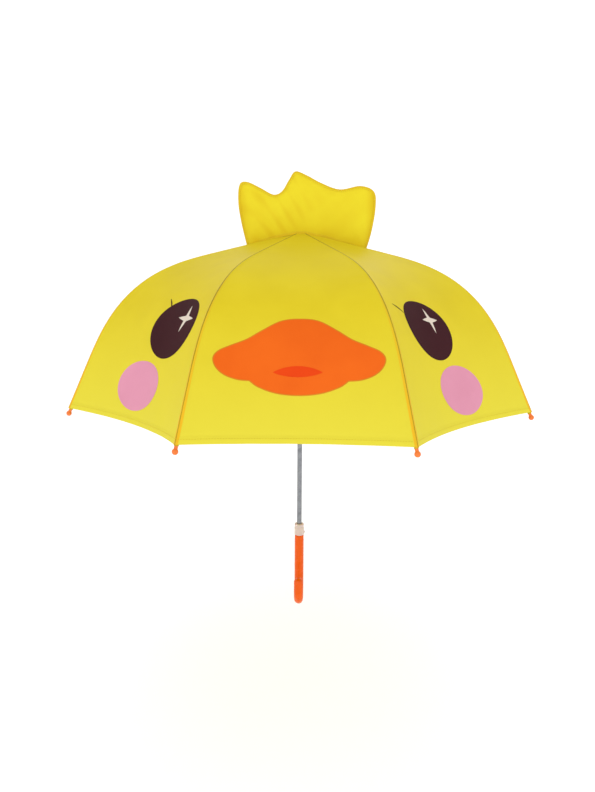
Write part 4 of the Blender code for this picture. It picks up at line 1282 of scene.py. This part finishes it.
@dataclass
class Crest:
    """Two layers of cloth sewn together round their edge and lightly filled, standing across the crown."""

    stitches: HemThread
    thickness: float = 0.0125
    seam_inset: float = 0.0045
    seam_thickness: float = 0.0016
    binding_share: float = 0.55     # of the inset, where the binding's own colour ends
    grid: float = 0.0032
    puff_reach: float = 0.017

    def crown_height(self, sideways: float, forward: float) -> float:
        """Height of the cloth of the crown under a point, over the apex."""
        form = self.stitches.canopy.layer.form
        slope = math.radians(form.line.crown_slope)
        turn = math.atan2(forward, sideways)
        turn -= 2.0 * HALF_GORE * round(turn / (2.0 * HALF_GORE))
        reach = math.hypot(sideways, forward)
        radius = reach * math.cos(turn) / math.cos(HALF_GORE)
        across = math.tan(turn) / math.tan(HALF_GORE)
        share = radius / math.cos(slope) / form.line.length
        sag = form.sag * share ** form.sag_power * (1.0 - across * across)
        return -radius * math.tan(slope) - sag / math.cos(slope)

    def outline(self, middle: float) -> list[tuple[float, float]]:
        """Front outline: (sideways, height over the apex). Its foot follows the crown under it.

        Args:
            middle: how far forward the crest's middle stands.

        Returns:
            The outline's points.
        """
        left, right = -0.0820, 0.0990
        knots = [
            (left, self.crown_height(left, middle)), (-0.0905, 0.0120), (-0.0948, 0.0420), (-0.0925, 0.0670),
            (-0.0810, 0.0712), (-0.0610, 0.0625), (-0.0420, 0.0532), (-0.0290, 0.0580), (-0.0185, 0.0745),
            (-0.0090, 0.0868), (0.0080, 0.0815), (0.0300, 0.0705), (0.0580, 0.0612), (0.0890, 0.0660),
            (0.1090, 0.0575), (0.1120, 0.0350), (0.1070, 0.0000), (right, self.crown_height(right, middle)),
        ]
        upper = smooth_outline(knots, {0, len(knots) - 1}, 6)
        foot = [(float(x), self.crown_height(float(x), middle)) for x in np.linspace(right, left, 40)[1:-1]]
        return [*upper[:-5], *foot]

    def puff(self, inward: float, sideways: float, height: float) -> float:
        """Half of the crest's thickness, at a distance in from its edge."""
        swell = 1.0 - math.exp(-max(inward - self.seam_inset, 0.0) / self.puff_reach)
        ripple = math.sin(190.0 * sideways + 30.0 * height + 2.1)
        creases = 0.30 * self.crease(sideways, height) + 0.12 * ripple
        half_seam, half_full = self.seam_thickness / 2.0, self.thickness / 2.0
        return half_seam + (half_full - half_seam) * swell * (0.80 + 0.35 * creases)

    def crease(self, sideways: float, height: float) -> float:
        """Depth of the long soft creases that fall slantwise from the left lobe, from -1 to 1."""
        slant = 0.82 * height + 0.57 * sideways
        fading = math.exp(-((sideways + 0.040) / 0.050) ** 2)
        waves = math.sin(230.0 * slant + 9.0 * math.sin(20.0 * sideways)) * fading
        return waves + 0.45 * math.sin(70.0 * sideways - 95.0 * height + 1.3)

    def hollow(self, inward: float, sideways: float, height: float, middle: float) -> float:
        """How deep in shade the cloth lies: in its creases, at its foot and where its ends roll round."""
        over_crown = height - self.crown_height(sideways, middle)
        ends = max(abs(sideways - 0.0085) - 0.088, 0.0) / 0.012
        crease = max(-self.crease(sideways, height), 0.0)
        edge = math.exp(-max(inward, 0.0) / 0.003)
        return min(0.45 * math.exp(-over_crown / 0.012) + 0.55 * ends + 0.30 * crease + 0.45 * edge, 1.0)

    def folds(self, sideways: float, height: float) -> float:
        """How far the whole crest bows back and forth, and how its ends roll forward."""
        ends = max(abs(sideways - 0.008) - 0.086, 0.0) / 0.018
        return 0.0020 * math.sin(34.0 * sideways + 9.0 * height) - 0.0018 * ends

    def cloth(self, outline: list[tuple[float, float]], middle: float, apex: float) -> bpy.types.Mesh:
        """Makes both layers of cloth, joined round their edge.

        Args:
            outline: the front outline.
            middle: how far forward the crest's middle stands.
            apex: height of the canopy's apex.

        Returns:
            The closed shape, with the binding as its second material and its painted shade marked in its
            "hollow" attribute.
        """
        edge = np.array(outline)
        low, high = edge.min(axis=0), edge.max(axis=0)
        rings = [
            [tuple(point) for point in grown(tuple(outline), -share * self.seam_inset)]
            for share in (self.binding_share, 1.0)
        ]
        grid = [
            (float(x), float(y)) for x in np.arange(low[0], high[0], self.grid)
            for y in np.arange(low[1], high[1], self.grid)
        ]
        inside = [point for point in grid if distance_to(edge, point) > self.seam_inset + 0.4 * self.grid]
        spots, faces = cut_patch(outline, [[*ring, ring[0]] for ring in rings], inside)
        used = sorted({k for face in faces for k in face})
        place = {k: index for index, k in enumerate(used)}
        depths = {k: distance_to(edge, spots[k]) for k in used}
        form = bmesh.new()
        front, back = ([
            form.verts.new((
                spots[k].x,
                middle + direction * self.puff(depths[k], spots[k].x, spots[k].y)
                + self.folds(spots[k].x, spots[k].y),
                apex + spots[k].y,
            )) for k in used
        ] for direction in (-1.0, 1.0))
        edges = set()
        for face in faces:
            at_edge = sum(depths[k] for k in face) / len(face) < 0.5 * self.seam_inset
            for side, order in ((front, face), (back, face[::-1])):
                form.faces.new([side[place[k]] for k in order]).material_index = int(at_edge)
            edges.update(zip(face, face[1:] + face[:1]))
        for a, b in sorted(edges):
            if (b, a) not in edges:
                start, end = place[a], place[b]
                form.faces.new((front[end], front[start], back[start], back[end])).material_index = 1
        bmesh.ops.recalc_face_normals(form, faces=form.faces)
        cloth = mesh_of("crest_cloth", form, crease=50.0)
        # Painted shade for both layers, which the crest's material mixes in as a darker colour.
        marks = 2 * [self.hollow(depths[k], spots[k].x, spots[k].y, middle) for k in used]
        cloth.attributes.new("hollow", "FLOAT", "POINT").data.foreach_set("value", marks)
        return cloth

    def build(self, tree: bpy.types.NodeTree) -> None:
        """Makes the crest and the row of stitches that follows its edge."""
        low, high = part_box("crest")
        middle = (low.y + high.y) / 2.0
        apex = self.stitches.canopy.layer.form.line.apex
        outline = self.outline(middle)
        mesh = self.cloth(outline, middle, apex)
        piece = new_piece("crest_cloth", mesh, ["crest", "crest_edge"])
        self.settle(piece)
        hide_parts("crest")
        path = [
            (x, middle - self.seam_thickness / 2.0 - 0.0002 + self.folds(x, y), apex + y)
            for x, y in grown(tuple(outline), -0.8 * self.seam_inset)
        ]
        loop = [(k, (k + 1) % len(path)) for k in range(len(path))]
        thread = self.stitches.sew(mesh_from("crest_path", np.array(path), [], loop), tree)
        self.settle(new_piece("crest_thread", thread, ["thread"]))

    def settle(self, piece: bpy.types.Object) -> None:
        """Makes a piece of the crest stay on the crown."""
        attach(piece, "root")
        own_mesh(piece)
        LOG.info("%s stands on the crown", piece.name)


@dataclass
class TieStrap:
    """Strap sewn to the hem at the back, with a turned end and a snap."""

    stitches: HemThread
    curl: float = 0.0035
    rows: int = 40
    snap_radius: float = 0.0050
    snap_share: float = 0.86        # of the strap's length
    thickness: float = 0.0011
    round_share: float = 0.92       # of the strap's length, where its end starts to narrow
    stitch_share: float = 0.40      # of the strap's width, from its middle to each row of stitches
    gore: int = 2

    def bow(self, share: float) -> float:
        """How far the strap bows inwards at a share of its length."""
        return self.curl * share * math.sin(1.4 * math.pi * share)

    def cloth(self, middle: float, width: float, length: float, top: float) -> bpy.types.Mesh:
        """Makes the strap's webbing, with its end rounded and its edges turned.

        Args:
            middle: how far back the strap hangs.
            width: the strap's width.
            length: the strap's length.
            top: height of the strap's upper end.

        Returns:
            The closed shape.
        """
        points = []
        columns = np.linspace(-1.0, 1.0, 9)
        for row in range(self.rows + 1):
            share = row / self.rows
            past = max(share - self.round_share, 0.0) / (1.0 - self.round_share)
            half = math.sqrt(max(1.0 - past**2, 0.12)) * width / 2.0
            drop = middle - self.bow(share)
            points += [(x * half, drop + 0.0004 * x * x, top - share * length) for x in columns]
        count = len(columns)
        faces = [
            (k + count, k + count + 1, k + 1, k)
            for k in range(self.rows * count) if k % count < count - 1
        ]
        sheet = placed("strap_sheet", mesh_from("strap_sheet", np.array(points), faces))
        wall = sheet.modifiers.new("cloth", "SOLIDIFY")
        wall.thickness, wall.offset = self.thickness, 0.0
        edge = sheet.modifiers.new("edge", "BEVEL")
        edge.width, edge.segments = 0.0003, 2
        cloth = solved(sheet)
        cloth.shade_smooth()
        cloth.set_sharp_from_angle(angle=math.radians(50.0))
        return cloth

    def build(self, tree: bpy.types.NodeTree) -> None:
        """Makes the strap, its edge stitches and the snap's cap."""
        low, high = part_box("tie_strap")
        middle, width, length = (low.y + high.y) / 2.0, high.x - low.x, high.z - low.z
        canopy = self.stitches.canopy
        strap = new_piece(
            "tie_strap_cloth", self.cloth(middle, width, length, high.z), ["strap"],
        )
        canopy.fold_in(strap, self.gore, Band.SKIRT, Half.NEAR)
        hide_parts("tie_strap")
        shares = [row / self.rows for row in range(self.rows - 4)]
        edges = [(k, k + 1) for k in range(len(shares) - 1)]
        for name, side in (("left", -1.0), ("right", 1.0)):
            path = [
                (side * self.stitch_share * width, middle - self.bow(share) + 0.7 * self.thickness,
                 high.z - share * length)
                for share in shares
            ]
            thread = self.stitches.sew(mesh_from("strap_path", np.array(path), [], edges), tree)
            row = new_piece(f"tie_strap_thread_{name}", thread, ["thread"])
            canopy.fold_in(row, self.gore, Band.SKIRT, Half.NEAR)
        profile = [
            (0.0, 0.0022), (0.55 * self.snap_radius, 0.0020), (0.85 * self.snap_radius, 0.0014),
            (self.snap_radius, 0.0006), (self.snap_radius, 0.0), (0.0, 0.0),
        ]
        out = middle - self.bow(self.snap_share) + 0.5 * self.thickness
        place = Matrix.Translation((0.0, out, high.z - self.snap_share * length))
        cap = mesh_of("strap_snap", turned(profile, 28), place @ Matrix.Rotation(-math.pi / 2.0, 4, "X"))
        snap = new_piece("tie_strap_snap", cap, ["cap"])
        canopy.fold_in(snap, self.gore, Band.SKIRT, Half.NEAR)
        LOG.info("tie strap hangs from the hem at the back")


# The hard pieces


@dataclass
class RibTips:
    """Ball tips, with a hollow stem and a few turns of the thread that ties the cloth on."""

    canopy: Canopy
    depth: float = 0.0032           # of the ribs' middle line under the cloth
    ball_radius: float = 0.00375
    stem_radius: float = 0.00225
    stem_length: float = 0.0125
    socket_depth: float = 0.004
    steps: int = 30
    thread_radius: float = 0.00028
    thread_start: float = 0.0032    # from the stem's end
    thread_turns: int = 5

    def place(self, rib: int) -> Matrix:
        """Where a tip's own frame lies, with its ball at the origin and its stem along -Z."""
        line = self.canopy.layer.form.line
        turn = Matrix.Rotation(HALF_GORE * (2 * rib - 1), 4, "Z")
        lean = Matrix.Rotation(math.radians(90.0 + line.skirt_slope), 4, "Y")
        return turn @ Matrix.Translation(line.at(1.0, -self.depth)) @ lean

    def profile(self) -> list[tuple[float, float]]:
        """Profile of a tip: the ball, its slim stem, and the socket that the rib's end sits in."""
        neck = math.pi - math.asin(self.stem_radius / self.ball_radius)
        turns = [neck * k / 18 for k in range(1, 19)]
        ball = [(self.ball_radius * math.sin(turn), self.ball_radius * math.cos(turn)) for turn in turns]
        flare, socket, end = 1.12 * self.stem_radius, self.stem_radius - 0.0006, -self.stem_length
        return [
            (0.0, self.ball_radius), *ball, (self.stem_radius, -0.0052), (self.stem_radius, end + 0.0022),
            (flare, end + 0.0012), (flare, end + 0.0003), (flare - 0.0003, end), (socket, end),
            (socket, end + self.socket_depth), (0.0, end + self.socket_depth),
        ]

    def wraps(self) -> bmesh.types.BMesh:
        """Winds the thread that ties the cloth on round the stem."""
        points, per_turn = [], 16
        reach = self.stem_radius + self.thread_radius
        for k in range(self.thread_turns * per_turn + 1):
            turn = 2.0 * math.pi * k / per_turn
            rise = -self.stem_length + self.thread_start + 2.1 * self.thread_radius * k / per_turn
            points.append(Vector((reach * math.cos(turn), reach * math.sin(turn), rise)))
        return swept(points, [self.thread_radius] * len(points), 6)

    def build(self) -> None:
        """Makes the eight tips and their threads."""
        for rib in range(1, RIB_COUNT + 1):
            place = self.place(rib)
            for name, form, look, slot in (
                ("ball_tip", turned(self.profile(), self.steps), "tip", "tip_orange"),
                ("tip_thread", self.wraps(), "thread", "canopy_fabric"),
            ):
                piece = new_piece(f"{name}_{rib}", mesh_of(name, form, place), [look])
                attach(piece, f"rib_outer_{rib}")
                if name == "ball_tip":
                    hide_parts(f"rib_tip_{rib}")
        LOG.info("ball tips and their threads on %d ribs", RIB_COUNT)


@dataclass
class Handle:
    """Crook handle with its moulding line, and the milky collar over its joint with the shaft."""

    radius: float = 0.0075
    hook_radius: float = 0.024
    stem_below: float = 0.0347
    end_length: float = 0.0229
    sides: int = 40
    arc_steps: int = 56
    flash_radius: float = 0.00022
    lug_size: float = 0.0032

    def line(self, top: float) -> tuple[list[Vector], list[float]]:
        """Middle line and radii of the handle, from its top edge round to its rounded end."""
        points, radii = [], []
        for inset, down in ((0.0010, 0.0), (0.0003, 0.0003), (0.0, 0.0010)):
            points.append(Vector((0.0, 0.0, top - down)))
            radii.append(self.radius - inset)
        for step in range(1, 12):
            points.append(Vector((0.0, 0.0, top - 0.0010 - (top - 0.0010 + self.stem_below) * step / 12)))
            radii.append(self.radius)
        for step in range(self.arc_steps + 1):
            turn = math.pi * step / self.arc_steps
            forward, drop = self.hook_radius * (1.0 - math.cos(turn)), self.hook_radius * math.sin(turn)
            points.append(Vector((0.0, -forward, -self.stem_below - drop)))
            radii.append(self.radius)
        straight = self.end_length - self.radius
        for step in range(1, 13):
            turn = 0.49 * math.pi * step / 12
            rise = straight + self.radius * math.sin(turn)
            points.append(Vector((0.0, -2.0 * self.hook_radius, -self.stem_below + rise)))
            radii.append(self.radius * math.cos(turn))
        return points, radii

    def add(
        self, name: str, form: bmesh.types.BMesh, look: str, slot: str, node: str = "", crease: float = 40.0
    ) -> None:
        """Adds a piece of the handle.

        Args:
            name: the piece's name.
            form: its shape.
            look: its finish.
            slot: the part's own material slot that it belongs to; not used.
            node: the node that it replaces, if any.
            crease: the angle in degrees past which its edges are sharp.
        """
        piece = new_piece(name, mesh_of(name, form, crease=crease), [look])
        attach(piece, "root")
        if node:
            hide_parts(node)

    def build(self) -> None:
        """Makes the handle, the moulding line along each side of it, and the collar."""
        points, radii = self.line(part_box("handle")[1].z)
        self.add("crook_handle", swept(points, radii, self.sides), "handle", "handle_orange", "handle")
        for name, side in (("right", 1.0), ("left", -1.0)):
            offset = Vector((side * (self.radius - 0.00005), 0.0, 0.0))
            ridge = [point + offset for point in points[3:-8]]
            form = swept(ridge, [self.flash_radius] * len(ridge), 8)
            self.add(f"handle_moulding_line_{name}", form, "handle", "handle_orange")
        low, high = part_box("handle_collar")
        shaft, outer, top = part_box("shaft")[1].x + 0.0003, -low.x, high.z
        rings = [(shaft, top), *((outer - inset, top - drop) for inset, drop in (
            (0.0024, 0.0), (0.0012, 0.0004), (0.0004, 0.0012), (0.0002, 0.0040), (0.0008, 0.0046),
            (0.0008, 0.0062), (0.0002, 0.0068), (0.0, 0.0075),
        )), (outer, low.z + 0.0006), (outer - 0.0006, low.z), (shaft, low.z)]
        self.add("milky_collar", turned(rings, 48), "collar", "collar_clear", "handle_collar", 50.0)
        lug = bmesh.new()
        bmesh.ops.create_cube(lug, size=1.0)
        bmesh.ops.scale(lug, vec=(0.0034, self.lug_size, self.lug_size), verts=lug.verts)
        bmesh.ops.bevel(lug, geom=lug.edges, offset=0.0006, segments=3, affect="EDGES")
        lug.transform(Matrix.Translation((high.x - 0.0017, 0.0, low.z + 0.003 + self.lug_size / 2.0)))
        self.add("collar_lug", lug, "collar", "collar_clear")
        LOG.info("handle and collar made")


@dataclass
class Hardware:
    """The part's own nodes that stay, with their finishes, and the small wire in the runner."""

    wire_radius: float = 0.00045
    pivot_radius: float = 0.0090

    def build(self) -> None:
        """Dresses every node that stays and adds the runner's wire."""
        wanted = {
            "shaft": "shaft", "top_notch": "black", "notch_wire": "rib", "crown_cap": "cap", "ferrule": "tip",
            "runner_stop": "black", "runner": "runner", "runner_button": "button",
        }
        for rib in range(1, RIB_COUNT + 1):
            for kind in ("rib_inner", "rib_outer", "stretcher"):
                wanted[f"{kind}_{rib}"] = "rib"
        for node, name in wanted.items():
            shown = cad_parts[node]
            shown.data.materials.clear()
            shown.data.materials.append(finish(name))
        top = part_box("runner")[1].z - 0.004
        ring = [
            Vector((self.pivot_radius * math.cos(turn), self.pivot_radius * math.sin(turn), top))
            for turn in (2.0 * math.pi * k / 48 for k in range(48))
        ]
        form = swept(ring, [self.wire_radius] * len(ring), 8, closed=True)
        wire = new_piece("runner_wire", mesh_of("runner_wire", form), ["rib"])
        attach(wire, "runner")
        LOG.info("hardware dressed, with the runner's wire at %.3f m", top)


# The setting


@dataclass
class Studio:
    """Pale floor that rises into a backdrop, soft lights, and the camera in front."""

    pale: str = "ffffff"
    floor_gap: float = 0.12
    aim_height: float = 0.35        # of the point that the lights face
    camera_place: tuple[float, float, float] = (0.0130, -1.0035, 0.4753)
    pitch: float = 10.91
    yaw: float = 0.98
    roll: float = 0.31
    lens: float = 28.66

    def backdrop(self) -> None:
        """Makes one sweep of paper, flat under the umbrella and upright behind it."""
        material, shader, place = new_material(
            "white_paper", Roughness=0.9, Specular_IOR_Level=0.1, Emission_Color=to_linear(self.pale),
            Emission_Strength=0.15,
        )
        tree = material.node_tree
        shader.inputs["Base Color"].default_value = to_linear(self.pale)
        fibre = add_node(tree, "ShaderNodeTexNoise", {"Vector": place, "Scale": 400.0, "Detail": 3.0})
        bump = add_node(
            tree, "ShaderNodeBump", {"Height": fibre.outputs["Fac"], "Strength": 0.02, "Distance": 0.0005},
        )
        tree.links.new(bump.outputs["Normal"], shader.inputs["Normal"])
        floor = CAD_BOX[0].z - self.floor_gap
        side, start, bend, form = 6.0, 3.0, 1.2, bmesh.new()
        turns = [k * math.pi / 24 for k in range(13)]
        rise = [(start + bend * math.sin(turn), floor + bend * (1.0 - math.cos(turn))) for turn in turns]
        profile = [(-side, floor), *rise, (start + bend, floor + side)]
        rows = [[form.verts.new((x, y, z)) for x in (-side, side)] for y, z in profile]
        for (a, b), (c, d) in zip(rows, rows[1:]):
            form.faces.new((a, b, d, c))
        mesh = mesh_of("paper_sweep", form)
        mesh.materials.append(material)
        placed("paper_sweep", mesh)

    def lights(self) -> None:
        """Sets a broad key light over the front, a fill at each side, and an even world."""
        for name, place, size, power in (
            ("key", (-0.4, -2.6, 1.1), 2.4, 14.0),
            ("fill_left", (-2.4, -1.0, 0.9), 1.8, 4.0),
            ("fill_right", (2.4, -1.2, 1.2), 1.8, 6.0),
            ("back", (0.4, 2.2, 2.0), 2.0, 8.0),
        ):
            light = bpy.data.lights.new(name, "AREA")
            light.shape, light.size, light.energy = "SQUARE", size, power
            lamp = placed(name, light)
            lamp.location = place
            towards = Vector((0.0, 0.0, self.aim_height)) - Vector(place)
            lamp.rotation_euler = towards.to_track_quat("-Z", "Y").to_euler()
        world = bpy.data.worlds.new("soft_light")
        world.use_nodes = True
        world.node_tree.nodes["Background"].inputs["Color"].default_value = (1.0, 1.0, 1.0, 1.0)
        world.node_tree.nodes["Background"].inputs["Strength"].default_value = 0.86
        bpy.context.scene.world = world
        bpy.context.scene.view_settings.view_transform = "Standard"

    def camera(self) -> None:
        """Sets the camera a metre in front, looking slightly down."""
        lens = bpy.data.cameras.new("front")
        lens.lens, lens.sensor_width, lens.sensor_fit = self.lens, 36.0, "AUTO"
        camera = placed("front", lens)
        look = (
            Matrix.Rotation(math.radians(self.yaw), 4, "Z")
            @ Matrix.Rotation(math.radians(90.0 - self.pitch), 4, "X")
            @ Matrix.Rotation(math.radians(self.roll), 4, "Z")
        )
        camera.matrix_world = Matrix.Translation(self.camera_place) @ look
        bpy.context.scene.camera = camera

    def build(self) -> None:
        """Makes the setting."""
        self.backdrop()
        self.lights()
        self.camera()


def main() -> None:
    """Builds every sub-assembly in order."""
    logging.basicConfig(level=logging.INFO, format="%(message)s")
    layer = Layer(PanelForm(RibLine()))
    canopy = Canopy(layer)
    canopy.build()
    stitches = HemThread(canopy)
    tree = stitches.tree()
    stitches.build(tree)
    Face(canopy).build()
    Crest(stitches).build(tree)
    TieStrap(stitches).build(tree)
    RibTips(canopy).build()
    Handle().build()
    Hardware().build()
    Studio().build()
    layer.clear()


if __name__ == "__main__":
    main()
